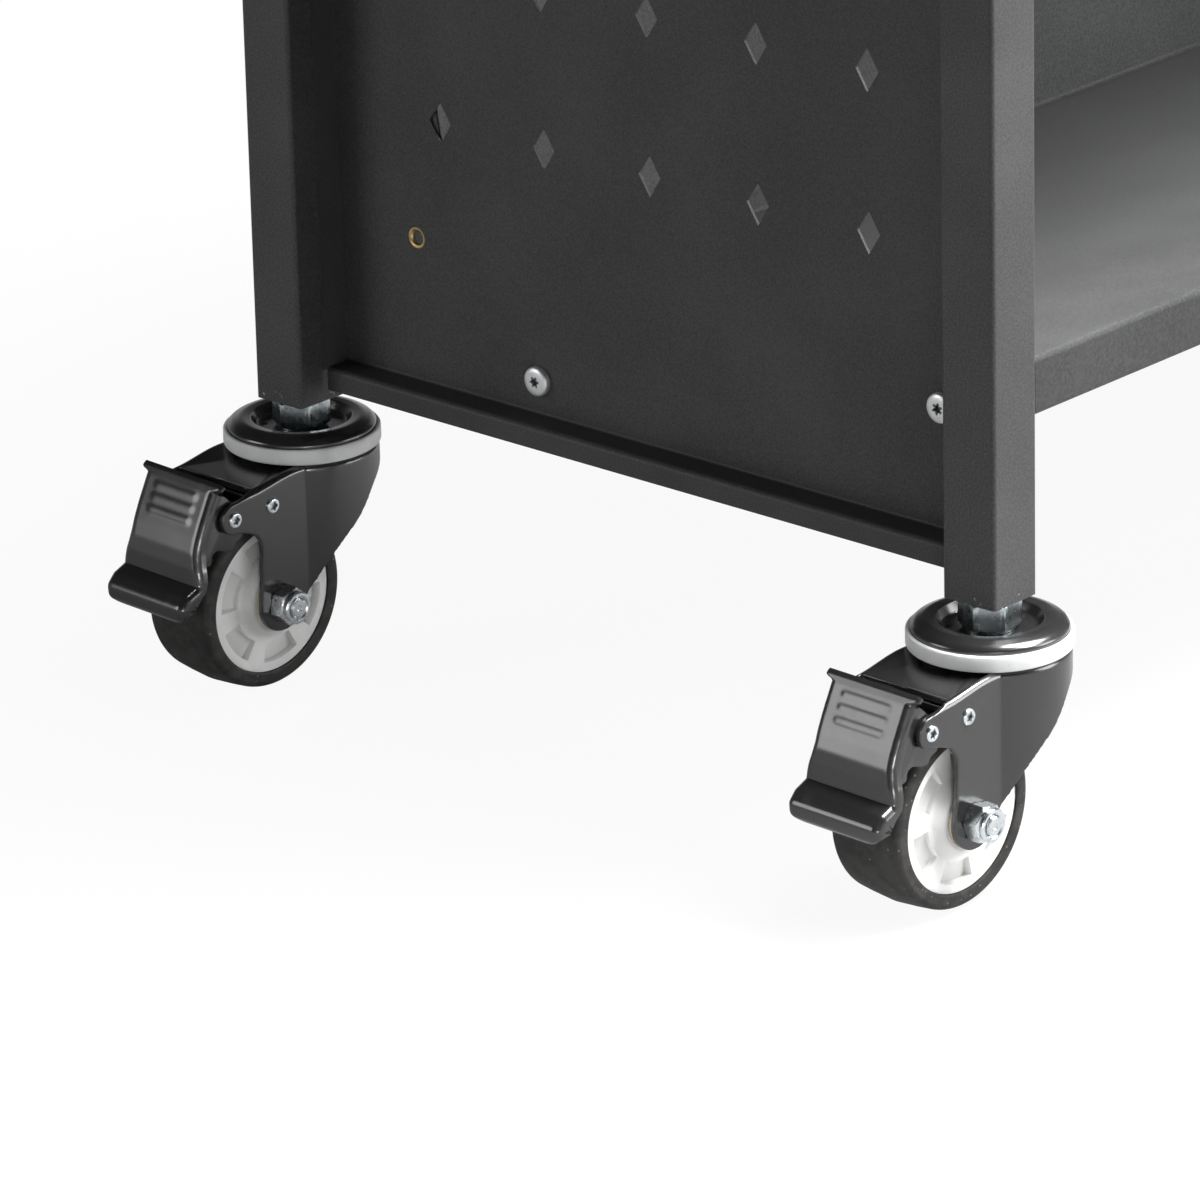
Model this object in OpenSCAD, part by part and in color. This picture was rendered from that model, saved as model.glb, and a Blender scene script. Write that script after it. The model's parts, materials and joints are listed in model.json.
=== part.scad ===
// Rolling book cart: two posted end frames with perforated panels, three leaning V shelves,
// and four threaded-stem casters, of which the left pair have foot brakes.
// +X runs along the cart to its right end, the front where books are taken is at -Y, +Z is up,
// and the origin lies on the floor under the middle of the cart's overall box.

/* [Cart] */
// Length over the posts
cart_length = 790; // [600:5:1100]
// Depth over the posts
cart_depth = 380; // [360:5:500]
// Height from the floor to the top of the handles
cart_height = 1250; // [1220:5:1500]

/* [Posts and handles] */
// Width of the square tube
post_w = 25; // [22:0.5:32]
// Wall of the square tube
post_wall = 1.5; // [1:0.1:2]
// Radius of the tube's long corners
post_corner = 1.8; // [1.6:0.1:3]
// Centre-line radius of the handle's bends
handle_bend_r = 45; // [35:1:60]

/* [End panels] */
// Thickness of the panel's sheet
panel_sheet = 1.2; // [0.8:0.1:2]
// From the posts' end face in to the panel's outer face
panel_recess = 26; // [26:0.5:32]
// How far the panel's edges are folded outwards
panel_flange = 14; // [10:0.5:18]
// Height of the lip under the bottom fold
panel_lip = 9.2; // [6:0.1:14]
// From the posts' lower ends up to the panel's bottom edge
panel_lift = 5.3; // [3:0.1:12]
// From the panel's top edge up to the top of the handles
panel_drop = 128; // [110:1:180]

/* [Perforations] */
// Width of one diamond hole
diamond_w = 11.2; // [8:0.1:14]
// Height of one diamond hole
diamond_h = 17.5; // [12:0.1:22]
// Holes side by side in a row
diamond_columns = 5; // [3:1:5]
// From one column to the next
diamond_pitch = 54.5; // [45:0.5:58]
// Rows of holes for each shelf
rows_per_shelf = 6; // [4:1:7]
// From the posts' lower ends up to the first row
diamond_base = 124; // [115:1:140]

/* [Shelves] */
// Thickness of the shelves' sheet
shelf_sheet = 1.2; // [0.8:0.1:2]
// How far floor and back lean
shelf_tilt = 9.6; // [6:0.1:12]
// Length of the sloping floor from its front edge to the back
shelf_floor = 288.5; // [260:0.5:300]
// Length of the leaning back
shelf_back = 190; // [170:1:210]
// Height of the front lip
shelf_lip = 23.4; // [18:0.1:30]
// Width of the hems under the lip and behind the back's top
shelf_hem = 12; // [8:0.5:16]
// From the posts' front face in to the lip's face
shelf_setback = 2.5; // [0.5:0.5:6]
// From the posts' lower ends up to the bottom shelf's front edge
shelf_base = 91.8; // [85:0.1:110]
// From the top shelf's front edge up to the top of the handles
shelf_headroom = 290; // [270:1:320]
// Width of the shelves' end flanges
end_flange = 29; // [27:0.5:30]

/* [Fixings] */
// Diameter of the screws' thread
screw_d = 4.9; // [4.5:0.1:5]
// Diameter of the screws' pan heads
screw_head_d = 12; // [11:0.1:13]
// Height of the pan heads
screw_head_h = 3.2; // [2.5:0.1:4]
// Length of a screw under its head
screw_length = 12; // [9:0.5:14]
// Bore of the threaded inserts
insert_bore = 5; // [5:0.1:5.3]
// Outer diameter of the inserts' barrels
insert_d = 7.6; // [7.2:0.1:8.4]
// Diameter of the inserts' flanges
insert_flange_d = 8.6; // [8.6:0.1:9.6]
// Length of an insert
insert_length = 13; // [12.5:0.5:16]
// From a sheet's face back to the line of its fixings
fixing_depth = 21.3; // [18:0.1:24]

/* [Caster swivel] */
// From the floor to the posts' lower ends
caster_height = 111; // [105:0.5:120]
// Across the flats of the stem's hexagon
stem_flats = 20.8; // [19:0.1:22]
// Height of the hexagon
stem_hex_h = 10; // [8:0.1:11]
// Diameter of the threaded stem
stem_d = 12; // [10:0.5:13]
// Length of the threaded stem inside the post
stem_length = 32; // [25:1:45]
// Diameter of the race cup
cup_d = 61.2; // [58:0.1:61.4]
// Diameter of the white dust ring
ring_d = 62.8; // [62:0.1:66]
// Height of the dust ring
ring_h = 5.5; // [5:0.1:7]
// Diameter of the bearing balls
ball_d = 6; // [5.5:0.1:6.2]
// Number of balls in each swivel
ball_count = 16; // [8:1:18]

/* [Fork] */
// Thickness of the pressed fork
fork_sheet = 2.5; // [2:0.1:3]
// Diameter of the fork's round front
fork_d = 61.6; // [60:0.1:62]
// From the swivel's axis back to the axle
trail = 34.5; // [32:0.5:37]
// Width over the fork's legs
fork_w = 46.4; // [45:0.1:48]
// Radius of the legs' lower ends
leg_end_r = 12; // [10:0.1:13]

/* [Wheel] */
// From the fork's crown down to the top of the wheel
wheel_gap = 13.7; // [12:0.1:17]
// Width over the tread
wheel_w = 34; // [30:0.5:35]
// Radius of the tread's shoulders
shoulder_r = 9; // [6:0.5:10]
// Thickness of the tread on the rim
tread_h = 7.5; // [6.5:0.5:9]
// Width over the rim's faces
rim_w = 32; // [28:0.5:32]
// Number of pockets in each face of the rim
pocket_count = 6; // [4:1:8]
// Depth of the pockets
pocket_depth = 5; // [3:0.5:7]
// Outer diameter of the ball bearings
bearing_d = 22; // [20:0.5:24]
// Width of each ball bearing
bearing_w = 7; // [6:0.5:8]
// Diameter of the axle bolt
axle_d = 8; // [7:0.5:9]
// Across the flats of the axle's nut and head
axle_flats = 13; // [12:0.5:14]

/* [Foot brake] */
// Thickness of the pedal's sheet
pedal_sheet = 1.6; // [1.2:0.1:1.8]
// Width of the pedal over its side flanges
pedal_w = 40.4; // [39:0.1:40.6]
// Width of the pedal's lower lip and top edge
pedal_lip_w = 46; // [44:0.1:46.4]
// Diameter of the rivets that the shoe and the pedal turn on
rivet_d = 4; // [3.5:0.1:4.5]
// Diameter of the rivets' heads
rivet_head_d = 6.4; // [6:0.1:7.5]
// Width of the brake shoe
shoe_w = 28; // [24:0.5:30]
// Thickness of the brake shoe
shoe_sheet = 2; // [1.5:0.1:2]
// Gap between the released shoe and the tread
shoe_gap = 1.6; // [1.4:0.1:1.7]

/* [Stance] */
// Turn of the front left caster
front_left_turn = 2; // [-10:0.5:10]
// Turn of the rear left caster
rear_left_turn = 3; // [-10:0.5:10]
// Turn of both right casters
right_turn = 0; // [-10:0.5:10]

/* [Hidden] */

$fn = 64;

// Clearances
slip = 0.3;
running = 0.05;
overrun = 1;

// Posts and handles
half_length = cart_length / 2;
half_depth = cart_depth / 2;
post_centre = post_w / 2;
post_top = cart_height - post_centre - handle_bend_r;

// Panels, in heights above the floor
panel_x = panel_recess;
panel_y0 = post_w;
panel_y1 = cart_depth - post_w;
panel_z0 = caster_height + panel_lift;
panel_z1 = cart_height - panel_drop;
panel_fold_z = panel_z0 + panel_lip;
shelf_front_z = caster_height + shelf_base;
shelf_levels = [0, 1, 2];
shelf_pitch = (cart_height - shelf_headroom - shelf_front_z) / shelf_levels[2];
diamond_step = shelf_pitch / rows_per_shelf;
first_row = caster_height + diamond_base;
diamond_top_margin = diamond_h;
row_count = floor((panel_z1 - panel_lip - diamond_top_margin - first_row) / diamond_step) + 1;

// Shelves, with their profile's origin at the floor's front edge
shelf_x = panel_x + panel_sheet;
floor_dir = [cos(shelf_tilt), -sin(shelf_tilt)];
back_dir = [sin(shelf_tilt), cos(shelf_tilt)];
shelf_corner = shelf_floor * floor_dir;
shelf_top = shelf_corner + shelf_back * back_dir;
shelf_bend_r = 2.4;
bend_steps = 5;
flange_front_gap = 10;
flange_top_gap = 6;
flange_cut_share = 0.3;

// Fixings of one shelf end, along the floor from its front and along the back from its foot
floor_fix_front = 47.6;
corner_fix = 34;
back_fix_top = 24;
fixings = [
    floor_fix_front * floor_dir - fixing_depth * back_dir,
    (shelf_floor - corner_fix) * floor_dir - fixing_depth * back_dir,
    shelf_corner + corner_fix * back_dir + fixing_depth * floor_dir,
    shelf_corner + (shelf_back - back_fix_top) * back_dir + fixing_depth * floor_dir
];
screwed = [0, 1, 3];
insert_hole_play = 0.2;
recess_core_share = 0.19;
recess_lobe_share = 0.062;
recess_reach_share = 0.2;
recess_depth_share = 0.62;
head_shares = [[1, 0], [1, 0.3], [0.906, 0.66], [0.55, 0.95], [0, 1]];

// Caster sockets
socket_wall_gap = 0.2;
socket_past_stem = 4;
socket_h = stem_length + socket_past_stem;

// Swivel, in depths below the posts' lower ends
hex_r = stem_flats / 2 / cos(30);
collar_h = 2.2;
cup_sheet = 1.5;
cup_ridge_h = 4.3;
cup_rim_drop = 0.8;
cup_floor_z = -stem_hex_h - collar_h;
cup_ridge_z = cup_floor_z + cup_ridge_h;
cup_rim_z = cup_floor_z - cup_rim_drop;
cup_floor_share = 0.5;
cup_inner_share = 0.6;
cup_ridge_share = 0.74;
cup_outer_share = 0.93;
cup_bend_r = 2;
ring_top_z = cup_rim_z - slip;
ring_bottom_z = ring_top_z - ring_h;
ring_wall = 2.6;
ring_edge_r = 0.8;
crown_z = ring_bottom_z;
crown_rise = 2.6;
race_r = cup_d / 2 * cup_ridge_share;
race_top_z = crown_z + crown_rise;
ball_z = race_top_z + slip / 3 + ball_d / 2;
shank_head_r = 11;
shank_head_h = 3.5;
shank_head_z = race_top_z - fork_sheet - slip;
stem_chamfer = 1.2;

// Fork, with x along the trail and z up from the posts' lower ends
fork_r = fork_d / 2;
leg_y = fork_w / 2;
leg_in_y = leg_y - fork_sheet;
wheel_r = (caster_height + crown_z - fork_sheet - wheel_gap) / 2;
axle_z = wheel_r - caster_height;
drop = -axle_z;
crease_x = sqrt(fork_r * fork_r - leg_y * leg_y);
race_step_r = ring_d / 2 - ring_wall - slip;
crown_back_run = 13.4;
crown_back_x = trail + crown_back_run;
crown_back_drop = 3.6;

// Pivots of the pedal and the shoe, behind the axle and above the top of the wheel
pivot_run = 24.1;
pivot_lift = 3.8;
pivot_x = trail + pivot_run;
pivot_z = axle_z + wheel_r + pivot_lift;
shoe_pin_run = 3.9;
shoe_pin_lift = 4.3;
shoe_pin_x = trail + shoe_pin_run;
shoe_pin_z = axle_z + wheel_r + shoe_pin_lift;
arm_end_r = 6.3;
// Front edge of the legs, as shares of the trail and of the axle's depth
front_edge_shares = [
    [-0.893, 0.36], [-0.6, 0.392], [-0.328, 0.464], [-0.107, 0.585], [0.125, 0.684],
    [0.275, 0.758], [0.406, 0.837], [0.504, 0.905], [0.583, 0.984], [0.72, 1.08]
];
// Rear edge of a leg that carries a brake arm, from the axle up to the arm
notch_shares = [[1.3, 0.97], [1.29, 0.65], [1.3, 0.595], [1.345, 0.56], [1.4, 0.548]];
// Rear edge of a leg without a brake, from the axle up to the crown
plain_edge_shares = [[1.3, 0.97], [1.28, 0.7], [1.2, 0.5], [1.1, 0.36], [0.95, 0.29], [0.6, 0.27]];

// Wheel
rim_r = wheel_r - tread_h;
bearing_r = bearing_d / 2;
axle_r = axle_d / 2;
hub_wall = 2.4;
hub_recess = 0.9;
hub_r = bearing_r + hub_wall;
bearing_out_y = leg_in_y - slip;
hub_y = bearing_out_y - hub_recess;
rim_flat_share = 0.84;
hub_shoulder = 2;
face_chamfer = 1;
pocket_in_share = 0.58;
pocket_out_share = 0.8;
pocket_angle_share = 0.6;
nut_r = axle_flats / 2 / cos(30);
nut_h = 6.4;
nut_collar_h = 2.6;
nut_collar_share = 0.86;
collar_edge_share = 0.5;
collar_top_share = 0.86;
head_h = 5.3;
bolt_past_nut = 2.6;
bolt_chamfer = 1;

// Foot brake
pedal_y = pedal_w / 2;
pedal_in_y = pedal_y - pedal_sheet;
lip_y = pedal_lip_w / 2;
pedal_bend_r = 4;
pedal_steps = 4;
// Outer line of the pedal from its top edge down to the lip, from the pivot, as shares of the arm
pedal_arm = 28.7;
pedal_line_shares = [
    [0.2, 0.555], [0.5, 0.06], [0.65, -0.29], [0.812, -0.812], [1.045, -0.985], [1.0, -1.268]
];
top_edge_share = 0.105;
lip_start_share = 0.64;
// Side flange of the pedal, from the pivot
flange_shares = [
    [0.17, 0.5], [0.44, 0.05], [0.59, -0.29], [0.755, -0.83], [0.98, -1.0], [0.95, -1.22],
    [0.72, -1.16], [0.55, -0.6], [0.36, -0.57], [0.34, -0.43], [0.24, -0.4], [-0.03, -0.47],
    [-0.24, -0.33]
];
flange_eye_r = 6.2;
// Cams that press the shoe down, placed about the pivot
cam_r = 3.3;
cam_arm = 6;
cam_angle = -60;
cam_start_share = 0.43;
shoe_eye_r = 3.2;
shoe_from = 90;
shoe_to = 50;
shoe_step = 2;
shoe_in_r = wheel_r + shoe_gap;
rivet_head_h = 1.1;
rivet_bore_share = 0.4;

// Overall box: the left pedals and the right wheels reach past the posts' ends
pedal_reach = pivot_x + pedal_arm * max([for (p = pedal_line_shares) p.x]);
wheel_reach = trail + wheel_r;
shift_x = (pedal_reach - wheel_reach) / 2;

paint = "#2b2c2e";
paint_light = "#3a3b3d";
zinc = "#b9bdc0";
brass = "#b9995a";
white = "#e9e9e6";
black = "#1b1b1c";
rubber = "#2a2a2a";

function unit(v) = v / norm(v);
function backwards(v) = [for (i = [len(v) - 1 : -1 : 0]) v[i]];

// Points of the fillet of radius r at corner b of the line a, b, c
function fillet(a, b, c, r, n) =
    let (
        u = unit(a - b),
        w = unit(c - b),
        half = acos(u * w) / 2,
        o = b + unit(u + w) * r / sin(half),
        s = b + u * r / tan(half) - o,
        from = atan2(s.y, s.x),
        turn = (u.x * w.y < u.y * w.x ? 1 : -1) * (180 - 2 * half)
    )
    [for (i = [0 : n]) o + r * [cos(from + turn * i / n), sin(from + turn * i / n)]];

// The line v with its inner corners rounded to r
function rounded(v, r, n) = [
    v[0],
    for (i = [1 : len(v) - 2]) each fillet(v[i - 1], v[i], v[i + 1], r, n),
    v[len(v) - 1]
];

// The line p moved by t to its left
function beside(p, t) = [
    for (i = [0 : len(p) - 1])
        let (
            a = i == 0 ? p[1] - p[0] : p[i] - p[i - 1],
            b = i == len(p) - 1 ? p[i] - p[i - 1] : p[i + 1] - p[i],
            n1 = [-a.y, a.x] / norm(a),
            n2 = [-b.y, b.x] / norm(b),
            m = unit(n1 + n2)
        )
        p[i] + m * t / (m * n1)
];

// Outline of a folded sheet: line v, bends of radius r, sheet t thick to the line's left
function folded(v, r, t, n) =
    let (p = rounded(v, r, n))
    concat(p, backwards(beside(p, t)));

// Points given as shares of a width and of a depth below the origin
function shared(shares, x, z) = [for (p = shares) [p.x * x, -p.y * z]];

// Square with round corners about the origin
module round_square(w, r) {
    square([w, w - 2 * r], center = true);
    square([w - 2 * r, w], center = true);
    for (x = [-1, 1], y = [-1, 1])
        translate([x * (w / 2 - r), y * (w / 2 - r)])
            circle(r);
}

module tube_section() {
    difference() {
        round_square(post_w, post_corner);
        square(post_w - 2 * post_wall, center = true);
    }
}

// Children drawn in the y and z of the cart and drawn out along x
module along_x(length) {
    rotate([90, 0, 90])
        linear_extrude(length)
            children();
}

// Children drawn in x and z and drawn out along y about the middle
module along_y(length) {
    rotate([90, 0, 0])
        linear_extrude(length, center = true)
            children();
}

// Children with x in from the end's outer face, y back from the front face, z above the floor
module left_end() {
    translate([shift_x - half_length, -half_depth, 0])
        children();
}

module right_end() {
    translate([shift_x + half_length, -half_depth, 0])
        mirror([1, 0, 0])
            children();
}

module post(y) {
    color(paint)
        translate([post_centre, y, caster_height])
            linear_extrude(post_top - caster_height)
                tube_section();
}

module front_left_post() {
    left_end() post(post_centre);
}

module rear_left_post() {
    left_end() post(cart_depth - post_centre);
}

module front_right_post() {
    right_end() post(post_centre);
}

module rear_right_post() {
    right_end() post(cart_depth - post_centre);
}

// One bend of the handle, from the top of a post over towards +y
module handle_bend() {
    translate([0, handle_bend_r, 0])
        rotate([0, -90, 0])
            rotate([0, 0, -90])
                rotate_extrude(angle = 90)
                    translate([handle_bend_r, 0])
                        tube_section();
}

module handle() {
    run = cart_depth - post_w - 2 * handle_bend_r;
    color(paint)
        translate([post_centre, 0, post_top]) {
            translate([0, post_centre, 0])
                handle_bend();
            translate([0, cart_depth - post_centre, 0])
                mirror([0, 1, 0])
                    handle_bend();
            translate([0, post_centre + handle_bend_r, handle_bend_r])
                rotate([-90, 0, 0])
                    linear_extrude(run)
                        tube_section();
        }
}

module left_handle() {
    left_end() handle();
}

module right_handle() {
    right_end() handle();
}

module diamond() {
    polygon([
        [diamond_w / 2, 0],
        [0, diamond_h / 2],
        [-diamond_w / 2, 0],
        [0, -diamond_h / 2]
    ]);
}

module diamonds() {
    middle = (diamond_columns - 1) / 2;
    for (column = [0 : diamond_columns - 1], row = [0 : row_count - 1])
        translate([half_depth + (column - middle) * diamond_pitch, first_row + row * diamond_step])
            diamond();
}

// Centres of all fixings of an end, back from the front face and above the floor
function fixing_places(which) = [
    for (shelf = shelf_levels, i = which)
        [shelf_setback, shelf_front_z + shelf * shelf_pitch] + fixings[i]
];

module fixing_holes(d) {
    for (place = fixing_places([0, 1, 2, 3]))
        translate(place)
            circle(d = d);
}

module end_panel() {
    flange_x = panel_x + panel_sheet - panel_flange;
    color(paint) {
        translate([panel_x, 0, 0])
            along_x(panel_sheet)
                difference() {
                    translate([panel_y0, panel_fold_z - panel_sheet])
                        square([panel_y1 - panel_y0, panel_z1 - panel_fold_z + panel_sheet]);
                    diamonds();
                    fixing_holes(insert_flange_d + insert_hole_play);
                }
        for (y = [panel_y0, panel_y1 - panel_sheet])
            translate([flange_x, y, panel_fold_z - panel_sheet])
                cube([panel_flange - panel_sheet, panel_sheet, panel_z1 - panel_fold_z + panel_sheet]);
        for (z = [panel_fold_z - panel_sheet, panel_z1 - panel_sheet])
            translate([flange_x, panel_y0, z])
                cube([panel_flange - panel_sheet, panel_y1 - panel_y0, panel_sheet]);
        translate([flange_x, panel_y0, panel_z0])
            cube([panel_sheet, panel_y1 - panel_y0, panel_lip - panel_sheet]);
    }
}

module left_end_panel() {
    left_end() end_panel();
}

module right_end_panel() {
    right_end() end_panel();
}

// Section of a shelf, y back and z up from the front edge of its floor
module shelf_section() {
    polygon(folded(
        [
            [shelf_hem, -shelf_lip],
            [0, -shelf_lip],
            [0, 0],
            shelf_corner,
            shelf_top,
            shelf_top + shelf_hem * floor_dir
        ],
        shelf_bend_r, -shelf_sheet, bend_steps
    ));
}

module shelf_end_flange() {
    lower = -end_flange * back_dir;
    rear = end_flange * floor_dir;
    cut = flange_cut_share;
    start = flange_front_gap * floor_dir;
    stop = shelf_top - flange_top_gap * back_dir;
    difference() {
        polygon([
            start - shelf_sheet * back_dir,
            shelf_corner + shelf_sheet * (floor_dir - back_dir),
            stop + shelf_sheet * floor_dir,
            stop + rear,
            shelf_corner + cut * lower + rear,
            shelf_corner + lower + cut * rear,
            start + lower
        ]);
        for (place = fixings)
            translate(place)
                circle(d = insert_d + 2 * running);
    }
}

module shelf(level) {
    length = cart_length - 2 * shelf_x;
    color(paint_light)
        translate([shift_x - length / 2, shelf_setback - half_depth, shelf_front_z + level * shelf_pitch]) {
            along_x(length)
                shelf_section();
            for (x = [0, length - shelf_sheet])
                translate([x, 0, 0])
                    along_x(shelf_sheet)
                        shelf_end_flange();
        }
}

module bottom_shelf() {
    shelf(0);
}

module middle_shelf() {
    shelf(1);
}

module top_shelf() {
    shelf(2);
}

// Screw with its head towards -x and the head's seat at x = 0
module screw() {
    rotate([0, 90, 0])
        difference() {
            rotate_extrude()
                polygon(concat(
                    [[0, screw_length], [screw_d / 2, screw_length], [screw_d / 2, 0]],
                    shared(head_shares, screw_head_d / 2, screw_head_h)
                ));
            translate([0, 0, -screw_head_h * (1 + recess_depth_share)])
                linear_extrude(screw_head_h * 2 * recess_depth_share) {
                    circle(screw_head_d * recess_core_share);
                    for (turn = [0 : 60 : 300])
                        rotate(turn)
                            translate([screw_head_d * recess_reach_share, 0])
                                circle(screw_head_d * recess_lobe_share);
                }
        }
}

module shelf_screws() {
    color(zinc) {
        left_end()
            for (place = fixing_places(screwed))
                translate([panel_x, place.x, place.y])
                    screw();
        right_end()
            for (place = fixing_places(screwed))
                translate([panel_x, place.x, place.y])
                    screw();
    }
}

// Threaded insert with its flange towards -x, level with the panel's outer face
module insert() {
    rotate([0, 90, 0])
        difference() {
            union() {
                cylinder(d = insert_flange_d, h = panel_sheet);
                cylinder(d = insert_d, h = insert_length);
            }
            translate([0, 0, -overrun])
                cylinder(d = insert_bore, h = insert_length + 2 * overrun);
        }
}

module shelf_inserts() {
    color(brass) {
        left_end()
            for (place = fixing_places([0, 1, 2, 3]))
                translate([panel_x, place.x, place.y])
                    insert();
        right_end()
            for (place = fixing_places([0, 1, 2, 3]))
                translate([panel_x, place.x, place.y])
                    insert();
    }
}

// Children at a post's axis, with z up from the posts' lower ends
module at_post(x, y) {
    translate([shift_x + x * (half_length - post_centre), y * (half_depth - post_centre), caster_height])
        children();
}

module at_front_left() {
    at_post(-1, -1) rotate([0, 0, 180 - front_left_turn]) children();
}

module at_rear_left() {
    at_post(-1, 1) rotate([0, 0, 180 - rear_left_turn]) children();
}

module at_front_right() {
    at_post(1, -1) rotate([0, 0, right_turn]) children();
}

module at_rear_right() {
    at_post(1, 1) rotate([0, 0, right_turn]) children();
}

module caster_sockets() {
    side = post_w - 2 * post_wall - socket_wall_gap;
    color(zinc)
        for (x = [-1, 1], y = [-1, 1])
            at_post(x, y)
                difference() {
                    linear_extrude(socket_h)
                        square(side, center = true);
                    translate([0, 0, -overrun])
                        cylinder(d = stem_d + 2 * running, h = socket_h + 2 * overrun);
                }
}

module race_balls() {
    color(zinc)
        for (x = [-1, 1], y = [-1, 1])
            at_post(x, y)
                for (i = [0 : ball_count - 1])
                    rotate([0, 0, i * 360 / ball_count])
                        translate([race_r, 0, ball_z])
                            sphere(d = ball_d);
}

module stem() {
    shank_r = stem_d / 2;
    color(zinc) {
        translate([0, 0, -stem_hex_h])
            cylinder(r = hex_r, h = stem_hex_h, $fn = 6);
        rotate_extrude()
            polygon([
                [0, stem_length],
                [shank_r - stem_chamfer, stem_length],
                [shank_r, stem_length - stem_chamfer],
                [shank_r, 0],
                [shank_r, -stem_hex_h],
                [stem_flats / 2, -stem_hex_h],
                [stem_flats / 2, cup_floor_z],
                [shank_r, cup_floor_z],
                [shank_r, shank_head_z],
                [shank_head_r, shank_head_z],
                [shank_head_r, shank_head_z - shank_head_h],
                [0, shank_head_z - shank_head_h]
            ]);
    }
}

module race_cup() {
    r = cup_d / 2;
    color(black)
        rotate_extrude()
            polygon(folded(
                [
                    [stem_d / 2 + running, cup_floor_z],
                    [r * cup_floor_share, cup_floor_z],
                    [r * cup_inner_share, cup_ridge_z - cup_sheet],
                    [r * cup_ridge_share, cup_ridge_z],
                    [r * cup_outer_share, cup_ridge_z - cup_sheet],
                    [r, cup_rim_z + 2 * cup_sheet],
                    [r, cup_rim_z]
                ],
                cup_bend_r, -cup_sheet, bend_steps
            ));
}

module dust_ring() {
    r = ring_d / 2;
    color(white)
        rotate_extrude()
            polygon([
                [r - ring_wall, ring_bottom_z],
                [r - ring_edge_r, ring_bottom_z],
                [r, ring_bottom_z + ring_edge_r],
                [r, ring_top_z - ring_edge_r],
                [r - ring_edge_r, ring_top_z],
                [r - ring_wall, ring_top_z]
            ]);
}

// Side view of the fork, cut down by t at its top
module fork_outline(braked, t) {
    front = shared(front_edge_shares, trail, drop);
    rear = shared(braked ? notch_shares : plain_edge_shares, trail, drop);
    top = braked
        ? [
            [pivot_x, pivot_z - arm_end_r],
            [pivot_x, pivot_z + arm_end_r - t],
            [crown_back_x, crown_z - crown_back_drop - t],
            [race_step_r, crown_z - t]
        ]
        : [[crease_x / 2, crown_z - t]];
    polygon(concat([[-fork_r - overrun, crown_z - t]], front, rear, top));
    translate([trail, axle_z])
        circle(leg_end_r);
    if (braked)
        translate([pivot_x, pivot_z])
            circle(arm_end_r);
}

// Plan of the fork drawn in by t: a round front and two straight sides
module fork_plan(t, reach) {
    circle(fork_r - t);
    translate([0, t - leg_y])
        square([reach, 2 * (leg_y - t)]);
}

// Raised middle of the crown that the balls run on
module race_hat() {
    bore_r = stem_d / 2 + running;
    join_z = crown_z - fork_sheet / 2;
    rotate_extrude()
        polygon([
            [bore_r, race_top_z],
            [race_step_r, race_top_z],
            [race_step_r, join_z],
            [race_step_r - fork_sheet, join_z],
            [race_step_r - fork_sheet, race_top_z - fork_sheet],
            [bore_r, race_top_z - fork_sheet]
        ]);
}

module fork(braked) {
    reach = pivot_x + 2 * arm_end_r;
    low = axle_z - leg_end_r - overrun;
    pins = braked ? [[pivot_x, pivot_z], [shoe_pin_x, shoe_pin_z]] : [];
    color(black)
        difference() {
            union() {
                difference() {
                    intersection() {
                        translate([0, 0, low])
                            linear_extrude(-low)
                                fork_plan(0, reach);
                        along_y(2 * fork_d)
                            fork_outline(braked, 0);
                    }
                    intersection() {
                        translate([0, 0, 2 * low])
                            linear_extrude(-2 * low)
                                fork_plan(fork_sheet, 2 * reach);
                        along_y(2 * fork_d)
                            polygon([
                                [-2 * fork_r, crown_z - fork_sheet],
                                [braked ? race_step_r : 2 * reach, crown_z - fork_sheet],
                                if (braked) [crown_back_x, crown_z - crown_back_drop - fork_sheet],
                                if (braked) [crown_back_x, 0],
                                if (braked) [2 * reach, 0],
                                [2 * reach, 2 * low],
                                [-2 * fork_r, 2 * low]
                            ]);
                    }
                    translate([0, 0, low])
                        cylinder(r = race_step_r - fork_sheet / 2, h = -low);
                }
                race_hat();
            }
            translate([trail, 0, axle_z])
                rotate([90, 0, 0])
                    cylinder(r = axle_r + running, h = 2 * fork_d, center = true);
            for (pin = pins)
                translate([pin.x, 0, pin.y])
                    rotate([90, 0, 0])
                        cylinder(r = rivet_d / 2 + running, h = 2 * fork_d, center = true);
        }
}

// Children turned so that their z runs along the axle towards +y
module on_axle() {
    translate([trail, 0, axle_z])
        rotate([-90, 0, 0])
            children();
}

module axle_bolt() {
    end = leg_y + nut_h + nut_collar_h + bolt_past_nut;
    color(zinc)
        on_axle() {
            translate([0, 0, -leg_y - head_h])
                cylinder(r = nut_r, h = head_h, $fn = 6);
            rotate_extrude()
                polygon([
                    [0, -leg_y],
                    [axle_r, -leg_y],
                    [axle_r, end - bolt_chamfer],
                    [axle_r - bolt_chamfer, end],
                    [0, end]
                ]);
        }
}

module axle_nut() {
    collar_r = nut_r * nut_collar_share;
    color(zinc)
        on_axle()
            translate([0, 0, leg_y])
                difference() {
                    union() {
                        cylinder(r = nut_r, h = nut_h, $fn = 6);
                        translate([0, 0, nut_h])
                            rotate_extrude()
                                polygon([
                                    [0, 0],
                                    [collar_r, 0],
                                    [collar_r, nut_collar_h * collar_edge_share],
                                    [collar_r * collar_top_share, nut_collar_h],
                                    [0, nut_collar_h]
                                ]);
                    }
                    translate([0, 0, -overrun])
                        cylinder(r = axle_r + running, h = nut_h + nut_collar_h + 2 * overrun);
                }
}

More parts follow.
